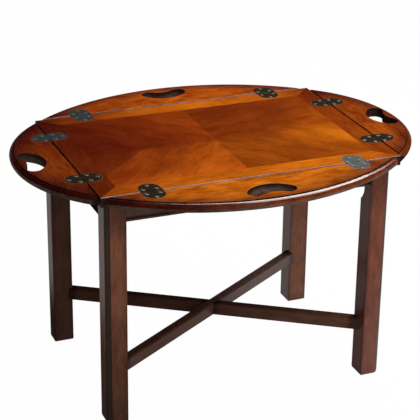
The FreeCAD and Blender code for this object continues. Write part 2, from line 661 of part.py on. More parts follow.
def leaf_master(name, seam, mortise):
    """Leaf with local +Y outward: a disc whose rim passes through both tray corners, cut at the seam."""
    crown = seam["crown"]
    radius = f"(({seam['along']} ^ 2 + {seam['reach']} ^ 2) / (2 * {seam['reach']}))"
    disc = revolved(name + "_disc", [
        ("0", "0"),
        (f"{radius} - rim_width", "0"),
        (f"{radius} - rim_width", "-rim_quirk", RIM_ARC, "right"),
        (radius, "-(rim_quirk + rim_drop)"),
        (radius, f"-(top_thick - {RIM_UNDER})", RIM_UNDER, "right"),
        (f"{radius} - {RIM_UNDER}", "-top_thick"),
        ("0", "-top_thick"),
    ])
    place(disc, "0", f"{crown} - {radius}", "table_height")
    # A leaf that stands up overhangs the tray by the knuckle's radius, so its neighbour's tips stop short
    tip = f"({seam['along']} + edge_gap - knuckle_radius - tip_room)"
    seam_line = f"({seam['pin']} + {LEAF_EDGE})"
    bounds = box(name + "_bounds", (f"-{tip}", tip), (seam_line, crown), (UNDERSIDE, "table_height"))
    hole = place(hand_hole(name + "_hand_hole"), "0", seam["hole"], UNDERSIDE, about_z(180))
    mortises = [copy(f"{name}_mortise_{number}", mortise, *spot, "table_height", about_z(0))
                for number, spot in enumerate(hinge_spots(seam))]
    board = cut(name + "_board", common(name + "_blank", disc, bounds), [hole, *mortises])
    half_hole = value("hole_length / 2")
    hole_near = value(f"{seam['hole']} + hole_crown - {HOLE_TO_CROWN} - hole_end_radius") - TOUCH
    hole_far = value(f"{seam['hole']} + hole_end_radius") + TOUCH

    def hole_edge(point):
        around = abs(point.x) <= half_hole and hole_near <= point.y <= hole_far
        return around and (same(point.z, "table_height") or same(point.z, UNDERSIDE))

    def seam_edge(point):
        return same(point.y, seam_line) and same(point.z, "table_height")

    softened = rounded(name + "_softened", board, "hole_round", hole_edge)
    return rounded(name, softened, "seam_arris", seam_edge)


def make_leaves(masters):
    side_leaf = leaf_master("side_leaf_master", SIDE_SEAM, masters["leaf_mortise"])
    end_leaf = leaf_master("end_leaf_master", END_SEAM, masters["leaf_mortise"])
    for leaf, turn, _ in LEAVES:
        master = side_leaf if turn % 180 == 0 else end_leaf
        keep(f"leaf_{leaf}", copy(f"leaf_{leaf}", master, "0", "0", "0", about_z(turn)))


# Tray: board, quartered field veneer, and crossbanding mitred at the corners

def crossband_master(name, seam):
    """Mitred strip along local X, its edge at the seam softened like the leaf's."""
    along = seam["along"]
    across = seam["across"]
    strip = padded(name + "_strip", [
        (f"-({along} - band_width)", f"{across} - band_width"),
        (f"{along} - band_width", f"{across} - band_width"),
        (along, across),
        (f"-{along}", across),
    ], "veneer_thick")
    place(strip, "0", "0", VENEER_BED)

    def seam_edge(point):
        return same(point.y, across) and same(point.z, "table_height")

    return rounded(name, strip, "seam_arris", seam_edge)


def make_tray(mortises):
    blank = box("tray_blank", (f"-{HALF_LENGTH}", HALF_LENGTH), (f"-{HALF_WIDTH}", HALF_WIDTH),
                (UNDERSIDE, VENEER_BED))
    peg_holes = [rod(f"tray_peg_hole_{name}", "peg_radius + peg_room", "peg_stand + peg_room",
                     f"{sign_x} * {LEG_X}", f"{sign_y} * {LEG_Y}", UNDERSIDE)
                 for name, sign_x, sign_y, _ in CORNERS]
    keep("tray_board", cut("tray_board", blank, mortises + peg_holes))
    field_x = f"({HALF_LENGTH} - band_width)"
    field_y = f"({HALF_WIDTH} - band_width)"
    for name, sign_x, sign_y, _ in CORNERS:
        x = ("0", field_x) if sign_x > 0 else (f"-{field_x}", "0")
        y = ("0", field_y) if sign_y > 0 else (f"-{field_y}", "0")
        keep(f"field_veneer_{name}", box(f"field_veneer_{name}", x, y, (VENEER_BED, "table_height")))
    side_band = crossband_master("side_band_master", SIDE_SEAM)
    end_band = crossband_master("end_band_master", END_SEAM)
    for leaf, turn, _ in LEAVES:
        master = side_band if turn % 180 == 0 else end_band
        strip = copy(f"crossband_{leaf}_strip", master, "0", "0", "0", about_z(turn))
        keep(f"crossband_{leaf}", cut(f"crossband_{leaf}", strip, mortises))


def check_document():
    """Stop on any object that failed to build or any sub-part without a sound solid."""
    for piece in doc.Objects:
        if "Invalid" in piece.State or "Error" in piece.State:
            raise RuntimeError(f"{piece.Name} did not build: {piece.State}")
    for name, piece in nodes.items():
        if piece.Shape.isNull() or not piece.Shape.isValid() or not piece.Shape.Solids:
            raise RuntimeError(f"{name} has no valid solid")


def write_parts():
    os.makedirs("parts", exist_ok=True)
    for name, piece in nodes.items():
        piece.Shape.exportStep(f"parts/{name}.step")
        print(f"{name}: {len(piece.Shape.Solids)} solid(s), {piece.Shape.Volume / 1000:.2f} cm3")
    print(f"{len(nodes)} nodes")


make_stretchers()
make_legs()
make_rails(make_corner_blocks())
hinge_pieces = hinge_masters()
make_tray(make_hinges(hinge_pieces))
make_leaves(hinge_pieces)
doc.recompute()
check_document()
write_parts()
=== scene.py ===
# %% [markdown]
# # A folding tray table in polished mahogany
#
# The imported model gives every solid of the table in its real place: a tray with four hinged leaves,
# and a low stand. This lesson dresses those solids as the real ones look. It eases their edges, rounds
# the feet, makes the slotted screws, and above all gives the wood its grain, its polish and its matched
# veneers.

import json
import math
from types import SimpleNamespace

import bmesh
import bpy
import numpy as np
from mathutils import Matrix, Vector

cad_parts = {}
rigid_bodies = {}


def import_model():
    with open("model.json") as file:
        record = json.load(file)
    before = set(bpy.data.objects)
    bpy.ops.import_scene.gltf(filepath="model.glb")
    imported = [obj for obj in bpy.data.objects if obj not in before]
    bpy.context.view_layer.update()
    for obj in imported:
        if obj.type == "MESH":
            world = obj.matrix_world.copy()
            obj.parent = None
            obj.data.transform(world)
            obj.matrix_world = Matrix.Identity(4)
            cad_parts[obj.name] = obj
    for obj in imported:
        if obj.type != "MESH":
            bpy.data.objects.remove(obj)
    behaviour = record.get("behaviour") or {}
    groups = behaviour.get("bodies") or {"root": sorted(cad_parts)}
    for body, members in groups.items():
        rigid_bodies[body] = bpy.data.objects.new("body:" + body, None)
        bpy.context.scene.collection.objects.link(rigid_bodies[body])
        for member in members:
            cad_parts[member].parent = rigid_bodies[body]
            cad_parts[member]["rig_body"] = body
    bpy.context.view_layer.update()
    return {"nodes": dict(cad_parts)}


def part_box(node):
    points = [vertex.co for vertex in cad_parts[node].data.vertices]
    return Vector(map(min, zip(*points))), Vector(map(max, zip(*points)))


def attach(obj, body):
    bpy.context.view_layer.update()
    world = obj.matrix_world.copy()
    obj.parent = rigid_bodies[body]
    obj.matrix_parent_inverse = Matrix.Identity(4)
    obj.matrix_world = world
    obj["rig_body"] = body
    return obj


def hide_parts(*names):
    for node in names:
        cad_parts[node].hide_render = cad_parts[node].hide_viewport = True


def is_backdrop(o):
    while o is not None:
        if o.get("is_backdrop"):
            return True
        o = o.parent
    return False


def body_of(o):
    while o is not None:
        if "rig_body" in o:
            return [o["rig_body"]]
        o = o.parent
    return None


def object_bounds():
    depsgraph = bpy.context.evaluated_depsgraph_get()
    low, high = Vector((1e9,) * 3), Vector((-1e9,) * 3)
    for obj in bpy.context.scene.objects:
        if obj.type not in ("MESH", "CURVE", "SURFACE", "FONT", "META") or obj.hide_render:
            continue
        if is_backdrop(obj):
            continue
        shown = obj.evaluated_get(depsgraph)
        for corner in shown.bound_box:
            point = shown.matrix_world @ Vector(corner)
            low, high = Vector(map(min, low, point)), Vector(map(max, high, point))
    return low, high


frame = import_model()
nodes = frame["nodes"]

# %% [markdown]
# ## The camera
#
# A long lens from the front left, a little above the table, gives the quiet perspective of a catalogue
# picture. The place and the three axes come from lining up the tray's corners, the feet and the oval
# rim. Setting the camera's matrix directly is simpler than aiming it with a constraint, and it keeps
# the slight roll that a real camera has.

# %% Camera
LENS_MM = 131.34
SENSOR_MM = 36.0
CAMERA_AT = (-1.04493, -2.55291, 1.51762)
CAMERA_RIGHT = (0.928063, -0.372222, 0.012257)
CAMERA_BACK = (-0.345909, -0.849326, 0.398739)
camera_sight = bpy.data.cameras.new("camera")
camera_sight.sensor_width = SENSOR_MM
camera_sight.lens = LENS_MM
camera = bpy.data.objects.new("camera", camera_sight)
bpy.context.scene.collection.objects.link(camera)
camera_right = Vector(CAMERA_RIGHT).normalized()
camera_back = Vector(CAMERA_BACK).normalized()
camera_up = camera_back.cross(camera_right)
turn = Matrix((camera_right, camera_up, camera_back)).transposed().to_4x4()
camera.matrix_world = Matrix.Translation(CAMERA_AT) @ turn
bpy.context.scene.camera = camera
print("camera looks down by", round(math.degrees(math.asin(camera_back.z)), 1), "degrees")

# %% [markdown]
# ## Wiring materials
#
# Every finish below is a small graph of shader nodes. Adding a node, setting its sockets and linking it
# takes several lines each time, so a short helper does all three: a socket is given either a plain value
# or another node's output.


# %% Helpers for node graphs
def feed(tree, socket, source):
    """Link an output to a socket, or set a plain value on it."""
    if isinstance(source, bpy.types.NodeSocket):
        tree.links.new(source, socket)
    else:
        socket.default_value = source


class Wiring:
    """Adds nodes to one graph. A socket's value is a number, a colour, or an output to link from."""

    def __init__(self, tree):
        self.tree = tree

    def node(self, kind, sockets=None, **settings):
        made = self.tree.nodes.new(kind)
        for name, setting in settings.items():
            setattr(made, name, setting)
        for name, source in (sockets or {}).items():
            feed(self.tree, made.inputs[name], source)
        return made

    def sum(self, operation, first, second=0.0, clamp=False):
        """One step of arithmetic on numbers."""
        made = self.node("ShaderNodeMath", {0: first, 1: second}, operation=operation, use_clamp=clamp)
        return made.outputs[0]

    def times(self, first, *others):
        """Product of numbers."""
        for other in others:
            first = self.sum("MULTIPLY", first, other)
        return first

    def vector(self, operation, first, second=(0.0, 0.0, 0.0)):
        """One step of arithmetic on vectors."""
        made = self.node("ShaderNodeVectorMath", {0: first, 1: second}, operation=operation)
        return made.outputs["Value" if operation in ("LENGTH", "DOT_PRODUCT") else "Vector"]

    def parts(self, vector):
        """X, Y and Z of a vector."""
        return self.node("ShaderNodeSeparateXYZ", {0: vector}).outputs

    def span(self, value, low, high, to_low=0.0, to_high=1.0, smooth=True):
        """Step from one range to another, with soft ends unless it is to be straight."""
        sockets = {"Value": value, "From Min": low, "From Max": high, "To Min": to_low, "To Max": to_high}
        kind = "SMOOTHSTEP" if smooth else "LINEAR"
        return self.node("ShaderNodeMapRange", sockets, interpolation_type=kind).outputs["Result"]

    def mix(self, factor, first, second, blend="MIX"):
        """Blend of two colours."""
        sockets = {"Factor": factor, 6: first, 7: second}
        return self.node("ShaderNodeMix", sockets, data_type="RGBA", blend_type=blend).outputs[2]

    def tinted(self, colour, tint):
        """Product of a colour and another colour or a number."""
        return self.mix(1.0, colour, tint, "MULTIPLY")

    def noise(self, vector, scale, detail=3.0, roughness=0.55, distortion=0.0):
        """Cloudy noise, stretched where the scale has three numbers."""
        if isinstance(scale, tuple):
            vector, scale = self.vector("MULTIPLY", vector, scale), 1.0
        sockets = {"Vector": vector, "Scale": scale, "Detail": detail, "Roughness": roughness,
                   "Distortion": distortion}
        return self.node("ShaderNodeTexNoise", sockets).outputs["Fac"]

    def ramp(self, value, stops):
        """Colour ramp from (position, colour) pairs."""
        made = self.node("ShaderNodeValToRGB", {"Fac": value})
        elements = made.color_ramp.elements
        while len(elements) < len(stops):
            elements.new(1.0)
        for element, (position, colour) in zip(elements, stops):
            element.position = position
            element.color = colour
        return made.outputs["Color"]

    def place(self, rotation=(0.0, 0.0, 0.0), scale=(1.0, 1.0, 1.0)):
        """Object coordinates, turned so that the wood's grain runs along X."""
        here = self.node("ShaderNodeTexCoord").outputs["Object"]
        radians = [math.radians(degrees) for degrees in rotation]
        sockets = {"Vector": here, "Rotation": radians, "Scale": scale}
        return self.node("ShaderNodeMapping", sockets).outputs["Vector"]


def new_group(name, inputs, outputs):
    """Empty node group with named sockets; gives its wiring, its inputs and its output node."""
    tree = bpy.data.node_groups.new(name, "ShaderNodeTree")
    kinds = {float: "NodeSocketFloat", tuple: "NodeSocketColor", None: "NodeSocketVector"}
    for socket, default in inputs.items():
        kind = kinds[None if default is None else type(default)]
        made = tree.interface.new_socket(socket, in_out="INPUT", socket_type=kind)
        if default is not None:
            made.default_value = default
    for socket, kind in outputs.items():
        tree.interface.new_socket(socket, in_out="OUTPUT", socket_type=kinds[kind])
    entry = tree.nodes.new("NodeGroupInput")
    leave = tree.nodes.new("NodeGroupOutput")
    return Wiring(tree), entry.outputs, leave


def new_material(name):
    """Material with a Principled shader; gives it, its wiring and its shader node."""
    material = bpy.data.materials.new(name)
    material.use_nodes = True
    return material, Wiring(material.node_tree), material.node_tree.nodes["Principled BSDF"]


def plug(wires, shader, **sockets):
    """Link outputs to the shader's sockets, or set plain values on them."""
    for name, source in sockets.items():
        feed(wires.tree, shader.inputs[name.replace("_", " ")], source)


# %% [markdown]
# ## Floor, backdrop and light
#
# The picture has a white ground and soft light. The white comes from the floor's own pale colour, and
# for the camera and for reflections most of it is plain white, so only a faint shadow stays. Polished
# wood mirrors whatever stands opposite, so the sky of this little studio is white only near the horizon
# and dark above: the top then mirrors the dark part, and its colour stays deep. The key lamp stands
# behind the table on the right, where the flat top can't mirror it but every edge that is eased towards
# the camera can. It draws the bright line along the rim and along the two long seams, where a painted
# highlight adds to it.

# %% Floor and world
FLOOR_RADIUS = 14.0
FLOOR_RINGS, FLOOR_SPOKES = 12, 96
FLOOR_TONE = (0.86, 0.86, 0.85, 1.0)
WHITE = (1.0, 1.0, 1.0, 1.0)
WHITE_SHARE = 0.985


def disc_mesh(name, radius, rings, spokes):
    """Flat disc: radius times (cos, sin) of the angle, on a grid of rings and spokes."""
    angles = np.linspace(0, 2 * np.pi, spokes, endpoint=False)
    reach, angle = np.meshgrid(np.linspace(0.02, radius, rings), angles, indexing="ij")
    points = np.stack([reach * np.cos(angle), reach * np.sin(angle), 0 * angle], -1).reshape(-1, 3)
    ring, spoke = np.meshgrid(np.arange(rings - 1), np.arange(spokes), indexing="ij")
    after = (spoke + 1) % spokes
    corners = [ring * spokes + spoke, (ring + 1) * spokes + spoke, (ring + 1) * spokes + after,
               ring * spokes + after]
    mesh = bpy.data.meshes.new(name)
    quads = np.stack(corners, -1).reshape(-1, 4).tolist()
    mesh.from_pydata(points.tolist(), [], quads + [list(range(spokes))])
    return mesh


floor = bpy.data.objects.new("floor", disc_mesh("floor", FLOOR_RADIUS, FLOOR_RINGS, FLOOR_SPOKES))
bpy.context.scene.collection.objects.link(floor)
floor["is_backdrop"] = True

material, wires, shader = new_material("white_floor")
plug(wires, shader, Base_Color=FLOOR_TONE, Roughness=0.9, Specular_IOR_Level=0.0)
path = wires.node("ShaderNodeLightPath").outputs
mirrored = wires.sum("MAXIMUM", path["Is Glossy Ray"], path["Is Transmission Ray"])
seen = wires.sum("MAXIMUM", path["Is Camera Ray"], mirrored)
white = wires.node("ShaderNodeEmission", {"Color": WHITE, "Strength": 1.0})
share = wires.sum("MULTIPLY", seen, WHITE_SHARE)
both = wires.node("ShaderNodeMixShader", {0: share, 1: shader.outputs[0], 2: white.outputs[0]})
output = material.node_tree.nodes["Material Output"]
material.node_tree.links.new(both.outputs[0], output.inputs["Surface"])
floor.data.materials.append(material)

# How high the sky changes, and its grey at shares of that height
SKY_TOP = 0.30
SKY = [(0.0, 0.95), (0.30, 0.90), (0.45, 0.45), (0.60, 0.08), (0.80, 0.015), (1.0, 0.012)]
world = bpy.data.worlds.new("studio")
bpy.context.scene.world = world
world.use_nodes = True
wires = Wiring(world.node_tree)
height = wires.parts(wires.node("ShaderNodeTexCoord").outputs["Generated"])["Z"]
greys = [(position, (level, level, level, 1.0)) for position, level in SKY]
sky = wires.ramp(wires.span(height, 0.0, SKY_TOP, smooth=False), greys)
background = world.node_tree.nodes["Background"]
world.node_tree.links.new(sky, background.inputs["Color"])
background.inputs["Strength"].default_value = 1.0
bpy.context.scene.view_settings.view_transform = "Standard"


# %% Lamps
def softbox(name, place, target, size, watts):
    """Oblong lamp at a place, turned to face a target."""
    lamp = bpy.data.lights.new(name, "AREA")
    lamp.shape = "RECTANGLE"
    lamp.size, lamp.size_y = size
    lamp.energy = watts
    holder = bpy.data.objects.new(name, lamp)
    away = Vector(place) - Vector(target)
    facing = away.to_track_quat("Z", "Y").to_matrix().to_4x4()
    holder.matrix_world = Matrix.Translation(place) @ facing
    bpy.context.scene.collection.objects.link(holder)


TOP_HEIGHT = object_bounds()[1].z
TOP_MIDDLE = (0.0, 0.0, TOP_HEIGHT)
softbox("key", (1.20, 1.10, 2.60), TOP_MIDDLE, (1.6, 1.3), 52.0)
softbox("overhead", (1.10, -0.10, 2.5), TOP_MIDDLE, (1.6, 1.2), 31.0)
softbox("side", (2.21, 0.53, 2.33), TOP_MIDDLE, (0.6, 1.0), 11.0)
softbox("front_fill", (-0.4, -3.2, 1.5), (0.0, 0.0, 0.25), (2.8, 2.0), 64.0)
print("floor, world and", len(bpy.data.lights), "lamps")

# %% [markdown]
# ## Copies that can be polished
#
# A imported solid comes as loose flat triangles, so light would break on every facet of a curve. Each
# solid that shows is copied, its facets are joined, and only its real corners stay sharp. Where a joiner
# would ease an edge with sandpaper, a narrow bevel does it. The feet, which are pushed about on floors,
# are cut at three heights and drawn in to a rounder edge. The Weighted Normal modifier keeps the broad
# flats truly flat beside their rounded edges.

# %% Copies
MERGE = 1e-6
FLAT = math.radians(0.3)
SHARP = math.radians(32)
SANDED = 0.0005
FOOT_CUTS = np.radians((0, 30, 60))
CORNERS = ("front_left", "front_right", "back_right", "back_left")
LEAVES = ("front", "back", "left", "right")


def add_piece(name, mesh, *replaced):
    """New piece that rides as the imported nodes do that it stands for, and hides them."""
    piece = bpy.data.objects.new(name, mesh)
    bpy.context.scene.collection.objects.link(piece)
    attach(piece, body_of(nodes[replaced[0]])[0])
    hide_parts(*replaced)
    return piece


def round_foot(shape, radius):
    """Draw the outline in near the floor, by radius - sqrt(radius^2 - (radius - z)^2) at the height z."""
    for angle in FOOT_CUTS:
        everything = [*shape.verts, *shape.edges, *shape.faces]
        level = (0.0, 0.0, radius * (1 - math.sin(angle)))
        bmesh.ops.bisect_plane(shape, geom=everything, plane_co=level, plane_no=(0.0, 0.0, 1.0))
    points = np.array([vert.co for vert in shape.verts])
    low, high = points[:, :2].min(axis=0), points[:, :2].max(axis=0)
    below = np.maximum(radius - points[:, 2:], 0.0)
    inset = radius - np.sqrt(np.maximum(radius ** 2 - below ** 2, 0.0))
    points[:, :2] -= (points[:, :2] - (low + high) / 2) * inset / ((high - low) / 2)
    for vert, point in zip(shape.verts, points):
        vert.co = point


def finished(name, bevel=0.0, foot=0.0):
    """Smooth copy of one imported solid, with its sharp edges eased by a bevel and its foot rounded."""
    shape = bmesh.new()
    shape.from_mesh(nodes[name].data)
    bmesh.ops.remove_doubles(shape, verts=shape.verts, dist=MERGE)
    if bevel:
        bmesh.ops.dissolve_limit(shape, angle_limit=FLAT, verts=shape.verts, edges=shape.edges)
    if foot:
        round_foot(shape, foot)
    for face in shape.faces:
        face.smooth = True
    for edge in shape.edges:
        edge.smooth = edge.calc_face_angle(0.0) < SHARP
    mesh = bpy.data.meshes.new(name + "_finished")
    shape.to_mesh(mesh)
    shape.free()
    piece = add_piece(name + "_finished", mesh, name)
    if bevel:
        eased = piece.modifiers.new("eased_edges", "BEVEL")
        eased.width = bevel
        eased.segments = 2
        eased.limit_method = "ANGLE"
        eased.angle_limit = SHARP
    flats = piece.modifiers.new("true_flats", "WEIGHTED_NORMAL")
    flats.keep_sharp = True
    return piece


def dress(material, *pieces):
    """Give the pieces one material."""
    for piece in pieces:
        piece.data.materials.clear()
        piece.data.materials.append(material)


# %% [markdown]
# ## Mahogany
#
# Mahogany shows five things at once: broad cloudy figure, streaks along the grain, fine fibres, dark
# flecks and short dark pores. Each is noise stretched along X by its own amount, and one group holds all
# five. A tone goes in, plain or varying, and comes out streaked: dark streaks turn redder and light ones
# more golden, which is what makes the wood look deep instead of painted.

# %% Mahogany group
# Scale along and across the grain, detail, roughness and distortion of each noise
FIGURE_NOISE = ((14.0, 30.0, 30.0), 4.0, 0.52, 0.6)
STREAK_NOISE = ((36.0, 260.0, 260.0), 3.0, 0.55, 0.5)
FIBRE_NOISE = ((60.0, 1000.0, 1000.0), 2.0, 0.5)
FLECK_NOISE = ((24.0, 150.0, 150.0), 3.0, 0.6, 0.9)
PORE_NOISE = ((90.0, 1100.0, 1100.0), 1.0, 0.4)
# What each multiplies the tone by
DARK_STREAK = (0.50, 0.36, 0.30, 1.0)
LIGHT_STREAK = (1.50, 1.64, 1.70, 1.0)
FLECK_TINT = (0.40, 0.30, 0.40, 1.0)
PORE_TINT = (0.42, 0.34, 0.34, 1.0)
PORE_DULL = 0.08
FIBRE_HEIGHT = 0.35

wires, into, leave = new_group(
    "mahogany",
    {"Vector": None, "Tone": (0.3, 0.06, 0.01, 1.0), "Streaks": 0.5, "Figure": 0.5, "Flecks": 0.0,
     "Pores": 0.5, "Polish": 0.3},
    {"Color": tuple, "Roughness": float, "Height": float})
figure = wires.noise(into["Vector"], *FIGURE_NOISE)
streak = wires.noise(into["Vector"], *STREAK_NOISE)
fibre = wires.noise(into["Vector"], *FIBRE_NOISE)
fleck = wires.times(wires.span(wires.noise(into["Vector"], *FLECK_NOISE), 0.52, 0.68), into["Flecks"])
pore = wires.times(wires.span(wires.noise(into["Vector"], *PORE_NOISE), 0.58, 0.70), into["Pores"])
fine = wires.span(fibre, 0.3, 0.7, -0.18, 0.18)
streaked = wires.sum("ADD", wires.span(streak, 0.28, 0.72, -0.5, 0.5), fine)
streaked = wires.times(streaked, into["Streaks"])
cloud = wires.times(wires.span(figure, 0.3, 0.7, -0.5, 0.5), into["Figure"])
level = wires.sum("ADD", wires.sum("ADD", streaked, cloud), 0.5, clamp=True)
toned = wires.tinted(into["Tone"], wires.mix(level, DARK_STREAK, LIGHT_STREAK))
toned = wires.mix(fleck, toned, wires.tinted(toned, FLECK_TINT))
toned = wires.mix(pore, toned, wires.tinted(toned, PORE_TINT))
feed(wires.tree, leave.inputs["Color"], toned)
rough = wires.sum("ADD", into["Polish"], wires.span(fibre, 0.3, 0.7, -0.02, 0.02))
rough = wires.sum("ADD", rough, wires.times(pore, PORE_DULL))
feed(wires.tree, leave.inputs["Roughness"], rough)
relief = wires.sum("SUBTRACT", wires.times(fibre, FIBRE_HEIGHT), pore)
feed(wires.tree, leave.inputs["Height"], relief)
mahogany = wires.tree
print("mahogany group of", len(mahogany.nodes), "nodes")

# %% Polished wood and lacquer
RELIEF = 0.00004
GREEN_FALL = 1.39
LEAST_BLUE, BLUE_RISE = 0.002, 0.006


def polished_wood(wires, shader, vector, tone, streaks=0.5, figure=0.5, flecks=0.0, pores=0.5, polish=0.10,
                  coat=0.15, coat_polish=0.10, coat_index=1.5, gloss=0.0):
    """Feed a Principled shader from the mahogany group."""
    sockets = {"Vector": vector, "Tone": tone, "Streaks": streaks, "Figure": figure, "Flecks": flecks,
               "Pores": pores, "Polish": polish}
    wood = wires.node("ShaderNodeGroup", sockets, node_tree=mahogany)
    sockets = {"Height": wood.outputs["Height"], "Strength": 0.5, "Distance": RELIEF}
    bump = wires.node("ShaderNodeBump", sockets)
    plug(wires, shader, Base_Color=wood.outputs["Color"], Roughness=wood.outputs["Roughness"],
         Normal=bump.outputs["Normal"], Specular_IOR_Level=gloss, Coat_Weight=coat,
         Coat_Roughness=coat_polish, Coat_IOR=coat_index)


def lacquered(level, gold):
    """Mahogany under amber lacquer: as it darkens, its green falls faster than its red."""
    return (level, gold * level ** GREEN_FALL, LEAST_BLUE + BLUE_RISE * level, 1.0)


# %% [markdown]
# ## The stand
#
# The stand is stained darker than the top and has a satin finish; the front right leg is a little
# redder. Each leg catches the light in its own way, and that light and shade is painted into its tone:
# how much of the tone is left at the foot, under the tray and on its left face is written down leg by
# leg. So is the sheen of its front and of its left face, which mirror the pale floor. Painted shade
# darkens the moulded corners and the hollow above the rails' beads; only a little of it is on the
# front right moulding.

# %% Legs
STAND_TONE = (0.140, 0.049, 0.024, 1.0)
LEG_STAIN = {"front_right": (0.152, 0.047, 0.028, 1.0)}
# Heights over which the painted shade at the foot gives way, and over which the painted shadow under
# the tray sets in
FOOT_SHADE_HEIGHTS = (0.0, 0.30)
TRAY_SHADOW_HEIGHTS = (0.35, 0.43)
# Share of the tone for the whole leg, and what painted light and shade leave of it at the foot, under
# the tray and on the left face
LEG_SHADING = {
    "front_left": {"share": 0.90, "foot": 0.50, "under": 0.62, "left": 0.85},
    "front_right": {"share": 1.05, "foot": 0.95, "under": 0.75, "left": 0.50},
    "back_right": {"share": 1.15, "foot": 1.00, "under": 1.00, "left": 0.50},
    "back_left": {"share": 0.32, "foot": 0.85, "under": 1.00, "left": 1.40},
}
# Low and high end of a leg's change in sheen, each with the sheen of its front and of its left face
LEG_SHEEN = {
    "front_left": ((0.14, 0.18, 0.05), (0.32, 0.18, 0.42)),
    "front_right": ((0.05, 0.48, 0.16), (0.30, 0.15, 0.26)),
    "back_right": ((0.00, 0.40, 0.42), (0.30, 0.40, 0.46)),
    "back_left": ((0.06, 0.15, 0.02), (0.18, 0.15, 0.45)),
}
LEG_LOW, LEG_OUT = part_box("leg_back_right")
LEG_MIDDLE = (LEG_LOW + LEG_OUT) / 2
FOOT_ROUND = 0.0035
# Distances from the left side at which the left face ends and the front begins
LEFT_ENDS, FRONT_BEGINS = 0.0004, 0.002
# Distances from the middle of a face over which it darkens, and the share left at its edge
TO_EDGE = (0.010, 0.020)
EDGE_SHARE = 0.62
# Width of the moulded corner, and how softly the painted shade on it ends
LEG_MOULDING = 0.0095
MOULDING_SHADE_END = 0.0012
# Painted shade on each leg's moulded corner, lightest on the front right
MOULDING_SHADE = {"front_left": (0.034, 0.017, 0.011, 1.0), "front_right": (0.090, 0.052, 0.044, 1.0),
         "back_right": (0.024, 0.014, 0.010, 1.0), "back_left": (0.024, 0.014, 0.010, 1.0)}


def worked_out(value, wires, here):
    """A plain value as it is, or what a function makes of the place."""
    return value(wires, here) if callable(value) else value


def stand_wood(name, rotation, tone, sheen=0.0, share=1.0, foot=0.45, under=1.0):
    """Dark mahogany with the grain along one direction and painted shade at the foot and under the tray;
    tone and sheen are plain, or functions.
    """
    material, wires, shader = new_material(name)
    here = wires.place()
    up = wires.parts(here)["Z"]
    shade = wires.times(wires.span(up, *FOOT_SHADE_HEIGHTS, foot * share, share),
                        wires.span(up, *TRAY_SHADOW_HEIGHTS, 1.0, under))
    toned = wires.tinted(worked_out(tone, wires, here), shade)
    polished_wood(wires, shader, wires.place(rotation), toned, streaks=0.32, figure=0.32, pores=0.4,
                  polish=0.36, coat=worked_out(sheen, wires, here), coat_polish=0.30)
    return material


def past_left(wires, here, corner, on_left, on_front):
    """Value that turns from a leg's left face to its front just past the edge between them."""
    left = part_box("leg_" + corner)[0].x
    return wires.span(wires.parts(here)["X"], left + LEFT_ENDS, left + FRONT_BEGINS, on_left, on_front)


def shaded_leg(corner, left_face_light):
    """Tone of a leg: painted light and shade on the left face, darker towards the edges, painted shade on
    the moulded corner.
    """
    def tone(wires, here):
        mirrored = wires.vector("ABSOLUTE", here)
        aside = wires.parts(wires.vector("ABSOLUTE", wires.vector("SUBTRACT", mirrored, LEG_MIDDLE)))
        to_edge = wires.span(wires.sum("MINIMUM", aside["X"], aside["Y"]), *TO_EDGE, 1.0, EDGE_SHARE)
        shade = wires.times(to_edge, past_left(wires, here, corner, left_face_light, 1.0))
        toned = wires.tinted(LEG_STAIN.get(corner, STAND_TONE), shade)
        inward = wires.parts(wires.vector("SUBTRACT", LEG_OUT, mirrored))
        off_corner = wires.sum("MAXIMUM", inward["X"], inward["Y"])
        past_moulding = wires.span(off_corner, LEG_MOULDING - MOULDING_SHADE_END, LEG_MOULDING)
        return wires.mix(past_moulding, MOULDING_SHADE[corner], toned)
    return tone


def leg_sheen(corner):
    """Sheen of a leg, which changes with the height and from its left face to its front."""
    (low, *low_sheens), (high, *high_sheens) = LEG_SHEEN[corner]

    def sheen(wires, here):
        up = wires.parts(here)["Z"]
        on_front, on_left = (wires.span(up, low, high, *ends) for ends in zip(low_sheens, high_sheens))
        return past_left(wires, here, corner, on_left, on_front)
    return sheen


for corner, finish in LEG_SHADING.items():
    shades = {name: finish[name] for name in ("share", "foot", "under")}
    wood = stand_wood("leg_mahogany_" + corner, (0, 90, 0), shaded_leg(corner, finish["left"]),
                      leg_sheen(corner), **shades)
    dress(wood, finished("leg_" + corner, SANDED, FOOT_ROUND))
print("legs", np.round(1000 * (LEG_OUT - LEG_LOW)).tolist(), "mm")

# %% Rails
RAIL_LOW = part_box("rail_front")[0].z
BEAD = 0.005
BEAD_EDGE = 0.0008
# Heights above the bead between which the painted shadow in its hollow ends
HOLLOW = (0.006, 0.004)
# Near black: painted shadow in the hollow above the bead
HOLLOW_SHADOW = (0.006, 0.004, 0.003, 1.0)
# Direction of the grain, sheen, share of the tone that painted shade under the tray leaves, and sides
RAILS = {"long": ((0, 0, 0), 0.3, 0.42, ("front", "back")),
         "short": ((0, 0, -90), 0.0, 0.25, ("left", "right"))}


def beaded_rail(wires, here):
    """Tone of a rail, with a painted shadow in the hollow above its bead."""
    above_bead = wires.sum("SUBTRACT", wires.parts(here)["Z"], RAIL_LOW + BEAD)
    in_shadow = wires.times(wires.span(above_bead, -BEAD_EDGE, 0.0), wires.span(above_bead, *HOLLOW))
    return wires.mix(in_shadow, STAND_TONE, HOLLOW_SHADOW)


for kind, (rotation, sheen, share, sides) in RAILS.items():
    wood = stand_wood(kind + "_rail_mahogany", rotation, beaded_rail, sheen, share)
    dress(wood, *(finished("rail_" + side, SANDED) for side in sides))
print("rails hang to", round(1000 * RAIL_LOW), "mm above the floor")

# %% Stretchers and corner blocks
STRETCHER_TONE = (0.112, 0.044, 0.027, 1.0)
STRETCHER_END = math.hypot(LEG_LOW.x, LEG_LOW.y)
STRETCHER_SLOPE = math.degrees(math.atan2(LEG_MIDDLE.y, LEG_MIDDLE.x))
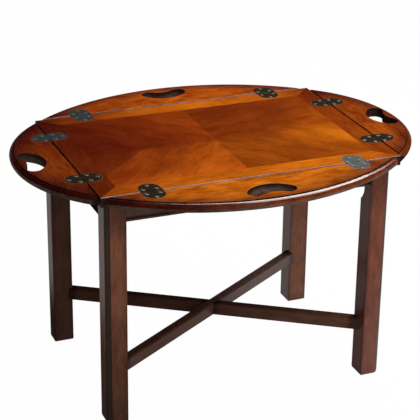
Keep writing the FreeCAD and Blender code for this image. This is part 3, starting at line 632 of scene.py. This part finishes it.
# Places along X between which a stretcher's left tone and sheen turn into its right ones
TONE_TURNS = (-0.05, 0.20)
SHEEN_TURNS = (-0.10, 0.15)
# Distances before the leg over which painted shade darkens a stretcher, and the share left there
AT_LEG = (0.014, 0.003)
LEG_SHARE = 0.4
# Distances from the middle over which the painted shade beside the lap ends
AT_LAP = (0.014, 0.024)
# Direction of the grain, shares of the tone that painted shade leaves on the left, on the right and at
# the lap, sheen of both sides
STRETCHERS = {"over": (-STRETCHER_SLOPE, (1.0, 1.0, 0.8), (0.24, 0.70)),
              "under": (STRETCHER_SLOPE, (0.5, 1.1, 0.4), (0.05, 0.15))}


def shaded_stretcher(left_face_light, right_share, lap_share):
    """Tone of a stretcher from left to right, with painted shade in the corner with each leg and beside the
    lap.
    """
    def tone(wires, here):
        along = wires.span(wires.parts(here)["X"], *TONE_TURNS, left_face_light, right_share)
        out = wires.vector("LENGTH", wires.vector("MULTIPLY", here, (1.0, 1.0, 0.0)))
        to_leg = wires.span(out, *(STRETCHER_END - reach for reach in AT_LEG), 1.0, LEG_SHARE)
        to_lap = wires.span(out, *AT_LAP, lap_share, 1.0)
        return wires.tinted(STRETCHER_TONE, wires.times(to_leg, to_lap, along))
    return tone


def stretcher_sheen(left_sheen, right_sheen):
    """Sheen of a stretcher from left to right."""
    def sheen(wires, here):
        return wires.span(wires.parts(here)["X"], *SHEEN_TURNS, left_sheen, right_sheen)
    return sheen


for kind, (angle, shares, sheens) in STRETCHERS.items():
    wood = stand_wood(f"stretcher_{kind}_mahogany", (0, 0, angle), shaded_stretcher(*shares),
                      stretcher_sheen(*sheens))
    dress(wood, finished("stretcher_" + kind, SANDED))
wood = stand_wood("block_mahogany", (0, 0, 45), STRETCHER_TONE)
dress(wood, *(finished("corner_block_" + corner, SANDED) for corner in CORNERS))
print("stretchers run at", round(STRETCHER_SLOPE, 1), "degrees")

# %% [markdown]
# ## The tray's veneers
#
# The field is four leaves of one veneer, turned and flipped so that the grain meets in diamonds. Flipping
# a sheet also flips how its fibres throw back the light, so one half looks dark where the other is bright.
# All four quarters therefore share one pattern on mirrored coordinates, in which only the back right one
# is turned less, and each has its own ramp of levels, which paints that light and dark into its colour
# along with the veneer's own tone. The position in a ramp is the distance along X less a share of the
# distance along Y, so lines of one tone lean, and the dark left end closes in a triangle.
# Front and back tones mix a little across the long joint, which is nearly invisible on the real top.

# %% Field veneers
# Angle of a quarter's grain to the long joint, in degrees
GRAIN_ANGLE = {"front_left": 48.0, "back_left": 48.0, "front_right": 48.0, "back_right": 22.0}
BAND_WIDTH = 0.041
TRAY_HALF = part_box("tray_board")[1]
FIELD_HALF = (TRAY_HALF.x - BAND_WIDTH, TRAY_HALF.y - BAND_WIDTH)
# How golden a quarter's lacquer is, and how far its lines of one tone lean
FIELD_GOLD = {"front_left": 0.285, "back_left": 0.265, "front_right": 0.335, "back_right": 0.31}
LEAN = {"front_left": 1.0, "back_left": 0.3, "front_right": 1.0, "back_right": 1.0}
# Distance across those lines in metres, and the level there
FIELD_LEVELS = {
    "front_left": [(-0.05, 0.34), (0.05, 0.22), (0.131, 0.21), (0.138, 0.14), (0.25, 0.09)],
    "back_left": [(-0.05, 0.25), (0.05, 0.17), (0.15, 0.11), (0.25, 0.08)],
    "front_right": [(0.03, 0.24), (0.11, 0.30), (0.18, 0.48), (0.25, 0.33)],
    "back_right": [(-0.15, 0.14), (0.10, 0.18), (0.25, 0.31)],
}
# How far those lines wander, and the noise that they follow
WANDER = 0.007
WANDER_NOISE = ((5.0, 40.0, 40.0), 3.0, 0.55)
# Where a quarter starts to get lighter towards the long crossband, and by how much
LIFT_FROM = 0.11
EDGE_LIFT = {"front_left": 1.35, "back_left": 1.0, "front_right": 1.0, "back_right": 1.0}
# Between which distances from the middle the front's tones turn into the back's
MIXING = {"left": (-0.030, -0.002), "right": (-0.050, 0.010)}


def quarter_ramp(wires, parts, wander, corner):
    """Lacquer of one quarter from its own levels."""
    across = wires.sum("SUBTRACT", parts["X"], wires.times(parts["Y"], LEAN[corner]))
    share = wires.span(wires.sum("ADD", across, wander), -FIELD_HALF[1], FIELD_HALF[0], smooth=False)
    reach = sum(FIELD_HALF)
    return wires.ramp(share, [((place + FIELD_HALF[1]) / reach, lacquered(level, FIELD_GOLD[corner]))
                              for place, level in FIELD_LEVELS[corner]])


for corner in CORNERS:
    side, end = corner.split("_")
    signs = (-1.0 if end == "left" else 1.0, -1.0 if side == "front" else 1.0, 1.0)
    material, wires, shader = new_material("field_veneer_" + corner)
    flipped = wires.place(scale=signs)
    turned = {"Vector": flipped, "Rotation": (0.0, 0.0, -math.radians(GRAIN_ANGLE[corner]))}
    grain = wires.node("ShaderNodeMapping", turned).outputs["Vector"]
    parts = wires.parts(flipped)
    wander = wires.span(wires.noise(grain, *WANDER_NOISE), 0.2, 0.8, -WANDER, WANDER)
    front, back = (quarter_ramp(wires, parts, wander, f"{half}_{end}") for half in ("front", "back"))
    to_back = wires.span(wires.parts(wires.place())["Y"], *MIXING[end])
    lift = wires.span(parts["Y"], LIFT_FROM, FIELD_HALF[1], 1.0, EDGE_LIFT[corner])
    tone = wires.tinted(wires.mix(to_back, front, back), lift)
    polished_wood(wires, shader, grain, tone, streaks=0.22, figure=0.34, flecks=0.12, pores=0.4)
    dress(material, nodes["field_veneer_" + corner])
print("field of", np.round(2000 * np.array(FIELD_HALF)).tolist(), "mm in four quarters")

# %% [markdown]
# ## The border
#
# The border is four mitred strips, and their grain runs along them. A pale line is painted along the two
# long seams as their highlight, and the two short ones are darkened with painted shade.

# %% Crossbands
# Levels along a strip, from left to right or from front to back
BAND_LEVELS = {"front": (0.24, 0.42, 0.44, 0.50, 0.32), "back": (0.09, 0.24, 0.46, 0.40, 0.17),
               "left": (0.11, 0.12, 0.09, 0.05), "right": (0.18, 0.23, 0.18, 0.10)}
# Painted highlight along the long seams, and painted shade in the short ones
SEAM_HIGHLIGHT = {"front": (0.34, 0.27, 0.25, 1.0), "back": (0.22, 0.17, 0.155, 1.0)}
SEAM_SHADE = (0.022, 0.012, 0.009, 1.0)
# Least and greatest width of the painted highlight along a long seam and of the painted shade along a
# short one
SEAM_MARK_WIDTHS = ((0.0007, 0.0017), (0.0002, 0.0006))
SEAM_SCALE = 60.0
# Near black, as painted shade in the gaps between tray and leaves where the board shows
BOARD_GAP_SHADE = (0.025, 0.010, 0.007, 1.0)


def along_seam(leaf):
    """Index of the axis that the leaf's seam runs along."""
    return 0 if leaf in ("front", "back") else 1


def grain_along(wires, leaf):
    """Object coordinates, turned so that the grain runs along the leaf's seam."""
    return wires.place((0, 0, -90 * along_seam(leaf)))


def lacquer_ramp(wires, leaf, levels, gold=0.31):
    """Lacquer whose level changes evenly along the leaf's seam."""
    along = along_seam(leaf)
    share = wires.span(wires.parts(wires.place())[along], -TRAY_HALF[along], TRAY_HALF[along], smooth=False)
    last = len(levels) - 1
    return wires.ramp(share, [(place / last, lacquered(level, gold)) for place, level in enumerate(levels)])


def painted_seam(wires, leaf, grain, to_seam, tone):
    """Tone with the last millimetre before a long seam painted pale as its highlight, and before a short
    seam painted dark as its shade.
    """
    patchy = wires.span(wires.noise(grain, SEAM_SCALE, 2.0), 0.3, 0.7, *SEAM_MARK_WIDTHS[along_seam(leaf)])
    near = wires.span(wires.sum("DIVIDE", to_seam, patchy), 1.2, 0.6)
    return wires.mix(near, tone, SEAM_HIGHLIGHT.get(leaf, SEAM_SHADE))


for leaf in LEAVES:
    across = 1 - along_seam(leaf)
    material, wires, shader = new_material("crossband_" + leaf)
    grain = grain_along(wires, leaf)
    outward = wires.parts(wires.vector("ABSOLUTE", wires.place()))[across]
    to_seam = wires.sum("SUBTRACT", TRAY_HALF[across], outward)
    tone = painted_seam(wires, leaf, grain, to_seam, lacquer_ramp(wires, leaf, BAND_LEVELS[leaf]))
    polished_wood(wires, shader, grain, tone, streaks=0.28, figure=0.35, flecks=0.3, pores=0.4)
    dress(material, finished("crossband_" + leaf))
material, wires, shader = new_material("tray_board")
polished_wood(wires, shader, wires.place(), BOARD_GAP_SHADE, polish=0.6, coat=0.0, gloss=0.03)
dress(material, nodes["tray_board"])
print("border of four strips,", round(1000 * BAND_WIDTH), "mm wide")

# %% [markdown]
# ## The leaves
#
# A leaf is a solid board, so its grain simply runs along it. It darkens towards the rim and the tips, and
# near the rim a painted reflection greys it. The moulded edge is stained redder and painted brighter where
# the light falls, its lower part carries a painted reflection of the pale floor, and painted shade fills
# the quirk above it and the walls of the hand hole. The rim is an arc, so the distance to the arc's
# centre tells the material how near a point is to the edge; depth below the top tells the quirk, the
# walls of the hand hole and the plain underside apart.

# %% Places on a leaf
RIM_WIDTH = 0.009
# How far outside and inside its width the rim's tone begins and is full
RIM_BEGINS, RIM_FULL = 0.0004, 0.0002
QUIRK_DEPTH = 0.0015
QUIRK_HALF = 0.0005
QUIRK_FADES = 0.0008
# Depths below the quirk's floor between which its stain ends
QUIRK_ENDS = (0.0010, 0.0002)
# Distances before a tip over which the rim darkens
TIP_DARKENS = (0.014, 0.007)
LEAF_GAP = 0.003
LEAF_THICK = 0.019
# Depths, and distances from the seam and from the rim, over which the walls of the hand hole begin
HOLE_DEPTHS = (0.0001, 0.0006)
HOLE_OFF_SEAM = (0.002, 0.004)
HOLE_OFF_RIM = (RIM_WIDTH, RIM_WIDTH + 0.001)


def leaf_arc(leaf):
    """Centre and radius of the arc through both tray corners and the leaf's farthest point."""
    along = along_seam(leaf)
    sign = 1 if leaf in ("back", "right") else -1
    crown = max(abs(corner[1 - along]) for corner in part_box("leaf_" + leaf))
    rise = crown - TRAY_HALF[1 - along]
    radius = (TRAY_HALF[along] ** 2 + rise ** 2) / (2 * rise)
    centre = [0.0, 0.0, 0.0]
    centre[1 - along] = sign * (crown - radius)
    return centre, radius


def leaf_spot(wires, leaf):
    """Where a point of a leaf lies: its distances from rim and seam, its depth, and masks of its parts."""
    along = along_seam(leaf)
    centre, radius = leaf_arc(leaf)
    here = wires.place()
    flat = wires.vector("MULTIPLY", wires.vector("SUBTRACT", here, centre), (1.0, 1.0, 0.0))
    to_rim = wires.sum("SUBTRACT", radius, wires.vector("LENGTH", flat))
    depth = wires.sum("SUBTRACT", TOP_HEIGHT, wires.parts(here)["Z"])
    aside = wires.parts(wires.vector("ABSOLUTE", here))
    to_seam = wires.sum("SUBTRACT", aside[1 - along], TRAY_HALF[1 - along] + LEAF_GAP)
    in_hole = wires.times(wires.span(depth, *HOLE_DEPTHS), wires.span(to_seam, *HOLE_OFF_SEAM),
                          wires.span(to_rim, *HOLE_OFF_RIM))
    on_rim = wires.span(to_rim, RIM_WIDTH + RIM_BEGINS, RIM_WIDTH - RIM_FULL)
    off_quirk = wires.sum("ABSOLUTE", wires.sum("SUBTRACT", to_rim, RIM_WIDTH))
    in_quirk = wires.times(wires.span(off_quirk, QUIRK_HALF + QUIRK_FADES, QUIRK_HALF),
                           wires.span(depth, *(QUIRK_DEPTH + below for below in QUIRK_ENDS)))
    at_tip = wires.span(aside[along], *(TRAY_HALF[along] - before for before in TIP_DARKENS))
    in_quirk = wires.sum("MAXIMUM", in_quirk, wires.times(at_tip, on_rim))
    return SimpleNamespace(to_rim=to_rim, to_seam=to_seam, depth=depth, in_hole=in_hole, on_rim=on_rim,
                           in_quirk=in_quirk)


# %% Tones of a leaf
# Levels along a leaf, from left to right or from front to back
LEAF_LEVELS = {"front": (0.30, 0.43, 0.50, 0.44, 0.35), "back": (0.10, 0.29, 0.36, 0.31, 0.20),
               "left": (0.12, 0.19, 0.12, 0.08), "right": (0.22, 0.28, 0.23, 0.10)}
LEAF_GOLD = {"front": 0.32, "back": 0.28, "left": 0.31, "right": 0.31}
# How far in from the rim the leaf darkens, where that is full, and its tint, which also greys it as a
# painted reflection
SHADED = {"front": 0.060, "back": 0.050, "left": 0.062, "right": 0.055}
SHADE_FULL = 0.008
RIM_SHADE_AND_REFLECTION = (0.42, 0.38, 1.6, 1.0)
# How far that shade drifts, and the noise that it follows
DRIFT = 0.012
DRIFT_NOISE = ((6.0, 14.0, 14.0), 2.0)
# Levels along the moulded rim, in the same order; they are partly painted light, brighter where the key
# lamp falls
RIM_LEVELS = {"front": (0.025, 0.06, 0.15, 0.15, 0.12), "back": (0.05, 0.08), "left": (0.035, 0.04),
              "right": (0.12, 0.08)}
RIM_GOLD = 0.38
# Depth at which the rim's lower tone begins, over what depth it gets full, and that tone: wood with a
# painted reflection of the pale floor
LOW_FROM = {"front": 0.0085, "back": 0.0095, "left": 0.0055, "right": 0.0085}
LOW_FULL = 0.003
RIM_LOW_REFLECTION = {"front": (0.125, 0.060, 0.044, 1.0), "back": (0.050, 0.020, 0.012, 1.0),
           "left": (0.100, 0.068, 0.050, 1.0), "right": (0.085, 0.035, 0.022, 1.0)}
# Places between which that painted reflection turns into a darker one, to the left or along the left leaf
LOW_TURNS = (0.05, -0.20)
RIM_LOW_REFLECTION_LEFT = (0.048, 0.032, 0.025, 1.0)
# Painted shade in the quirk and on the rim at the tips
QUIRK_SHADE = (0.016, 0.009, 0.007, 1.0)
# Painted shade on the hole's walls at their upper edge, the depths over which it gives way, and the tone
# below, painted lighter in the front and back holes, which are lit, than in the side ones
WALL_EDGE_SHADE = (0.016, 0.010, 0.008, 1.0)
WALL_TURNS = (0.001, 0.014)
WALL_TONE_AND_LIGHT = {"front": (0.130, 0.080, 0.062, 1.0), "back": (0.120, 0.060, 0.048, 1.0),
             "left": (0.070, 0.043, 0.033, 1.0), "right": (0.045, 0.017, 0.010, 1.0)}
UNDER_FROM = (LEAF_THICK - 0.002, LEAF_THICK - 0.0005)
UNDER_TONE = (0.100, 0.030, 0.014, 1.0)


def rim_tone(wires, leaf, spot):
    """Tone of the moulded rim along the leaf, with a painted reflection of the pale floor on its lower
    part.
    """
    upper = lacquer_ramp(wires, leaf, RIM_LEVELS[leaf], RIM_GOLD)
    from_right = wires.parts(wires.place())["Y" if leaf == "left" else "X"]
    lower = wires.mix(wires.span(from_right, *LOW_TURNS), RIM_LOW_REFLECTION[leaf], RIM_LOW_REFLECTION_LEFT)
    return wires.mix(wires.span(spot.depth, LOW_FROM[leaf], LOW_FROM[leaf] + LOW_FULL), upper, lower)


def leaf_tone(wires, leaf, grain, spot):
    """Tone of a leaf: darker, and greyed by a painted reflection, towards the rim; then hole, seam,
    underside, rim and quirk laid over it.
    """
    tone = lacquer_ramp(wires, leaf, LEAF_LEVELS[leaf], LEAF_GOLD[leaf])
    drift = wires.span(wires.noise(grain, *DRIFT_NOISE), 0.2, 0.8, -DRIFT, DRIFT)
    shade = wires.span(wires.sum("ADD", spot.to_rim, drift), SHADED[leaf], SHADE_FULL)
    tone = wires.mix(shade, tone, wires.tinted(tone, RIM_SHADE_AND_REFLECTION))
    wall = wires.mix(wires.span(spot.depth, *WALL_TURNS), WALL_EDGE_SHADE, WALL_TONE_AND_LIGHT[leaf])
    tone = wires.mix(spot.in_hole, tone, wall)
    tone = painted_seam(wires, leaf, grain, spot.to_seam, tone)
    tone = wires.mix(wires.span(spot.depth, *UNDER_FROM), tone, UNDER_TONE)
    tone = wires.mix(spot.on_rim, tone, rim_tone(wires, leaf, spot))
    return wires.mix(spot.in_quirk, tone, QUIRK_SHADE)


# %% Leaf boards
# Coat of lacquer on the flat and on the upper rim, and the depths between which it ends
FLAT_COAT = 0.12
RIM_COAT = {"front": 1.0, "back": 0.1, "left": 0.08, "right": 0.1}
COAT_FULL, COAT_ENDS = 0.004, 0.007
# How much of the pale floor the rim mirrors below its highlight, and between which places it sets in
RIM_SHEEN = {"front": 0.22, "back": 0.0, "left": 0.16, "right": 0.0}
SHEEN_SETS_IN = (-0.20, 0.10)
# Depths over which that sheen falls, and the share left below them
SHEEN_FALLS = (0.0085, 0.0110)
SHEEN_LEFT = 0.6
LEAF_POLISH, WALL_POLISH = 0.10, 0.60
LEAF_COAT_POLISH = 0.17
LEAF_COAT_INDEX = 1.66


def leaf_coat(wires, leaf, spot):
    """Coat of a leaf: its own on flat and upper rim, sheen on the lower rim, none in hole and quirk."""
    upper_rim = wires.times(spot.on_rim, wires.span(spot.depth, COAT_ENDS, COAT_FULL))
    lower = wires.sum("MAXIMUM", spot.in_hole, wires.span(spot.depth, COAT_FULL, COAT_ENDS))
    coat = wires.times(wires.span(upper_rim, 0.0, 1.0, FLAT_COAT, RIM_COAT[leaf]),
                       wires.span(lower, 1.0, 0.0))
    along = wires.parts(wires.place())[along_seam(leaf)]
    sheen = wires.times(wires.span(along, *SHEEN_SETS_IN, 0.0, RIM_SHEEN[leaf]),
                        wires.span(spot.depth, *SHEEN_FALLS, 1.0, SHEEN_LEFT))
    coat = wires.sum("MAXIMUM", coat, wires.times(spot.on_rim, sheen))
    return wires.times(coat, wires.span(spot.in_quirk, 0.0, 1.0, 1.0, 0.0))


for leaf in LEAVES:
    material, wires, shader = new_material("leaf_" + leaf)
    grain = grain_along(wires, leaf)
    spot = leaf_spot(wires, leaf)
    polish = wires.span(spot.in_hole, 0.0, 1.0, LEAF_POLISH, WALL_POLISH)
    polished_wood(wires, shader, grain, leaf_tone(wires, leaf, grain, spot), streaks=0.48, figure=0.55,
                  flecks=0.5, polish=polish, coat=leaf_coat(wires, leaf, spot),
                  coat_polish=LEAF_COAT_POLISH, coat_index=LEAF_COAT_INDEX)
    dress(material, finished("leaf_" + leaf))
    print("leaf", leaf, "rim radius", round(leaf_arc(leaf)[1], 4))

# %% [markdown]
# ## Hinges
#
# The flush hinges are brass that was darkened and then rubbed: dark in the middle, brighter along the
# outline and round the screws. A plate is a half disc on a short straight stretch, so its outline can be
# worked out in the material from where the hinge lies. The eight hinges mirror each other, and absolute
# coordinates lay them all on one. Three of them are painted pale grey, a painted reflection of the bright
# studio.

# %% Patina group
MOTTLE_SCALE = 420.0
BRUSH_SCALE = (2200.0, 160.0, 160.0)
RUBBED_SMOOTH = 0.10
METAL_GLOSS = 0.05

wires, into, leave = new_group(
    "patina",
    {"Vector": None, "Dark": (0.03, 0.02, 0.015, 1.0), "Light": (0.2, 0.2, 0.2, 1.0), "Mottle": 0.5,
     "Wear": 0.0, "Dull": 0.4},
    {"Color": tuple, "Roughness": float})
mottle = wires.noise(into["Vector"], MOTTLE_SCALE, 4.0, 0.6)
brush = wires.noise(into["Vector"], BRUSH_SCALE, 2.0)
level = wires.sum("ADD", wires.span(mottle, 0.40, 0.75), wires.span(brush, 0.45, 0.8, 0.0, 0.4))
level = wires.times(level, into["Mottle"])
rubbed = wires.times(into["Wear"], wires.span(mottle, 0.25, 0.65, 0.25, 1.0))
level = wires.sum("ADD", level, rubbed, clamp=True)
feed(wires.tree, leave.inputs["Color"], wires.mix(level, into["Dark"], into["Light"]))
dull = wires.sum("ADD", into["Dull"], wires.span(mottle, 0.3, 0.7, -0.06, 0.10))
dull = wires.sum("SUBTRACT", dull, wires.times(rubbed, RUBBED_SMOOTH))
feed(wires.tree, leave.inputs["Roughness"], dull)
patina = wires.tree
print("patina group of", len(patina.nodes), "nodes")


def metal(name, dark, light, mottle, dull, metallic, wear=None):
    """Worn metal; wear is a function that gives a mask from the wiring."""
    material, wires, shader = new_material(name)
    sockets = {"Vector": wires.place(), "Dark": (*dark, 1.0), "Light": (*light, 1.0), "Mottle": mottle,
               "Dull": dull, "Wear": wear(wires) if wear else 0.0}
    finish = wires.node("ShaderNodeGroup", sockets, node_tree=patina)
    plug(wires, shader, Base_Color=finish.outputs["Color"], Roughness=finish.outputs["Roughness"],
         Metallic=metallic, Specular_IOR_Level=METAL_GLOSS)
    return material


# %% Hinge plates
PIN_RADIUS = 0.0012
PLATE_HALF = 0.021
PLATE_ROUND = 0.014
PLATE_EASED = 0.00025
SCREW_SPOTS = ((0.013, 0.010), (0.0, 0.027))
# Distances inside the outline over which it was rubbed, and round a screw, with the share there
OUTLINE_RUBBED = (0.0022, 0.0003)
SCREW_RUBBED = (0.0056, 0.0036)
SCREW_SHARE = 0.8
BRONZE_DARK = (0.020, 0.012, 0.006)
BRONZE_LIGHT = (0.150, 0.112, 0.070)
# Hinges painted pale as a painted reflection, and how bright each is painted
REFLECTING_HINGES = {"front_right": 0.64, "back_left": 0.24, "left_back": 0.24}
REFLECTION_DARK = np.array((0.120, 0.135, 0.125))
REFLECTION_LIGHT = np.array((0.26, 0.27, 0.26))
# Ends of a seam that runs along X, and of one that runs along Y
SEAM_ENDS = (("left", "right"), ("front", "back"))
pins_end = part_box("hinge_pins")[1]
side_plate = sum(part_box("tray_plate_back_right"), Vector()) / 2
end_plate = sum(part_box("tray_plate_right_back"), Vector()) / 2
# Middle of a hinge on its pin, for a side leaf and for an end leaf
HINGE_AT = ((side_plate.x, pins_end.y - PIN_RADIUS, 0.0), (pins_end.x - PIN_RADIUS, end_plate.y, 0.0))


def far(wires, beside, beyond):
    """Length of the hypotenuse over two distances."""
    squares = (wires.sum("POWER", distance, 2.0) for distance in (beside, beyond))
    return wires.sum("SQRT", wires.sum("ADD", *squares))


def plate_wear(along):
    """Mask that is bright along a plate's outline and round its screws."""
    def wear(wires):
        mirrored = wires.vector("ABSOLUTE", wires.place())
        offset = wires.parts(wires.vector("ABSOLUTE", wires.vector("SUBTRACT", mirrored, HINGE_AT[along])))
        beside, beyond = offset[along], offset[1 - along]
        past_round = wires.sum("MAXIMUM", wires.sum("SUBTRACT", beyond, PLATE_ROUND), 0.0)
        from_middle = far(wires, beside, past_round)
        mask = wires.span(from_middle, *(PLATE_HALF - inside for inside in OUTLINE_RUBBED))
        for spot_beside, spot_beyond in SCREW_SPOTS:
            away = far(wires, wires.sum("SUBTRACT", beside, spot_beside),
                       wires.sum("SUBTRACT", beyond, spot_beyond))
            mask = wires.sum("MAXIMUM", mask, wires.span(away, *SCREW_RUBBED, 0.0, SCREW_SHARE))
        return mask
    return wear


bronze = [metal(f"dark_bronze_{along}", BRONZE_DARK, BRONZE_LIGHT, 0.12, 0.20, 0.3, plate_wear(along))
          for along in (0, 1)]
for leaf in LEAVES:
    along = along_seam(leaf)
    for end in SEAM_ENDS[along]:
        hinge = f"{leaf}_{end}"
        finish = bronze[along]
        if hinge in REFLECTING_HINGES:
            dark, light = REFLECTING_HINGES[hinge] * REFLECTION_DARK, REFLECTING_HINGES[hinge] * REFLECTION_LIGHT
            finish = metal("reflecting_bronze_" + hinge, dark, light, 0.3, 0.3, 0.2, plate_wear(along))
        dress(finish, *(finished(f"{owner}_plate_{hinge}", PLATE_EASED) for owner in ("tray", "leaf")))
print(len(REFLECTING_HINGES), "of eight hinges are pale")

# %% [markdown]
# ## Screws
#
# A slotted head needs two straight walls across a round dome, which a turned profile can't give. So the
# head is a grid of strips that run along the slot, each as long as the circle is wide there, and the slot's
# walls are two strips that share one place at two heights. Rings below the grid's edge shrink down the
# countersink and the shank to the point.

# %% Slotted screws
HEAD_RADIUS = 0.00325
DOME = 0.0006
SLOT_HALF = 0.00045
SLOT_DEEP = 0.0012
# Where the strips beside the slot end, as shares of the radius, and the points along a strip
STRIPS = np.array([0.99, 0.93, 0.80, 0.62, 0.42, 0.25])
STRIP_POINTS = 9
# Radius and depth of each ring
SHANK = ((0.0024, 0.0015), (0.0015, 0.0023), (0.0015, 0.0100), (0.0005, 0.0130))
GOLDEN_TURN = math.radians(137.508)


def screw_parts():
    """Points and faces of one screw, head up at the origin.

    A head point is (s, t * sqrt(R^2 - s^2)), with s across the slot and t from -1 to 1 along it, on the
    dome z = -DOME * (r / R)^2 or on the slot's floor; a ring point is an edge point scaled to the ring.
    """
    beside = STRIPS * HEAD_RADIUS
    across = np.concatenate([-beside, [-SLOT_HALF, -SLOT_HALF, SLOT_HALF, SLOT_HALF], beside[::-1]])
    middle = len(across) // 2
    s, t = np.meshgrid(across, np.linspace(-1.0, 1.0, STRIP_POINTS), indexing="ij")
    along = t * np.sqrt(HEAD_RADIUS ** 2 - s ** 2)
    z = -DOME * (s ** 2 + along ** 2) / HEAD_RADIUS ** 2
    z[middle - 1:middle + 1] = -SLOT_DEEP
    points = np.stack([s, along, z], -1)
    index = np.arange(s.size).reshape(s.shape)
    corners = [index[:-1, :-1], index[1:, :-1], index[1:, 1:], index[:-1, 1:]]
    faces = np.stack(corners, -1).reshape(-1, 4).tolist()
    edge = np.concatenate([index[:-1, 0], index[-1, :-1], index[:0:-1, -1], index[0, :0:-1]])
    rim = points.reshape(-1, 3)[edge]
    rings = [np.concatenate([rim[:, :2] * reach / HEAD_RADIUS, np.full((len(rim), 1), -low)], -1)
             for reach, low in SHANK]
    loops = [edge] + [s.size + number * len(edge) + np.arange(len(edge)) for number in range(len(rings))]
    for upper, lower in zip(loops, loops[1:]):
        sides = [upper, lower, np.roll(lower, -1), np.roll(upper, -1)]
        faces += np.stack(sides, -1).tolist()
    faces.append(loops[-1][::-1].tolist())
    return np.concatenate([points.reshape(-1, 3), *rings]), faces


def screw_mesh(name, places):
    """One mesh with a screw at each place, every one driven to a different angle."""
    points, faces = screw_parts()
    angle = np.arange(len(places)) * GOLDEN_TURN
    cos, sin = np.cos(angle)[:, None], np.sin(angle)[:, None]
    x = points[:, 0] * cos - points[:, 1] * sin
    y = points[:, 0] * sin + points[:, 1] * cos
    z = np.broadcast_to(points[:, 2], x.shape)
    everywhere = np.stack([x, y, z], -1) + np.array(places)[:, None, :]
    mesh = bpy.data.meshes.new(name)
    all_faces = [[corner + number * len(points) for corner in face]
                 for number in range(len(places)) for face in faces]
    mesh.from_pydata(everywhere.reshape(-1, 3).tolist(), [], all_faces)
    mesh.update()
    return mesh


def screw_places(leaf, outward):
    """Where the six screws of one leaf's hinges stand, in the leaf (outward 1) or in the tray (-1)."""
    along = along_seam(leaf)
    sign = 1 if leaf in ("back", "right") else -1
    places = []
    for end in (-1, 1):
        for beside, beyond in (*SCREW_SPOTS, (-SCREW_SPOTS[0][0], SCREW_SPOTS[0][1])):
            place = [0.0, 0.0, TOP_HEIGHT]
            place[along] = end * HINGE_AT[along][along] + beside
            place[1 - along] = sign * (HINGE_AT[along][1 - along] + outward * beyond)
            places.append(place)
    return places


worn_brass = metal("worn_brass", (0.14, 0.13, 0.11), (0.42, 0.40, 0.36), 0.5, 0.32, 0.6)
tray_places = [place for leaf in LEAVES for place in screw_places(leaf, -1)]
screws = [add_piece("tray_screws_slotted", screw_mesh("tray_screws_slotted", tray_places), "tray_screws")]
for leaf in LEAVES:
    name = f"leaf_screws_{leaf}_slotted"
    screws.append(add_piece(name, screw_mesh(name, screw_places(leaf, 1)), "leaf_screws_" + leaf))
dress(worn_brass, *screws)
print(len(tray_places), "screws in the tray")

# %% [markdown]
# ## Inner fittings
#
# Bolts, washers, nuts, screws and springs are bright steel, the hinge pins are brass, and the pegs that
# locate the tray are plain beech. They show only from below or when the tray is lifted off.

# %% Fittings
STEEL_FITTINGS = ("hinge_springs", "hanger_bolts", "bolt_washers", "bolt_nuts", "block_screws", "lap_screw")
BEECH_TONE = (0.55, 0.33, 0.16, 1.0)

bright = metal("bright_steel", (0.30, 0.30, 0.31), (0.52, 0.52, 0.52), 0.5, 0.30, 1.0)
dress(bright, *(finished(name) for name in STEEL_FITTINGS))
dress(worn_brass, finished("hinge_pins"))
material, wires, shader = new_material("beech")
polished_wood(wires, shader, wires.place((0, 90, 0)), BEECH_TONE, polish=0.5, coat=0.0)
dress(material, finished("tray_pegs"))
print(len(STEEL_FITTINGS), "kinds of steel fittings, pins and pegs")
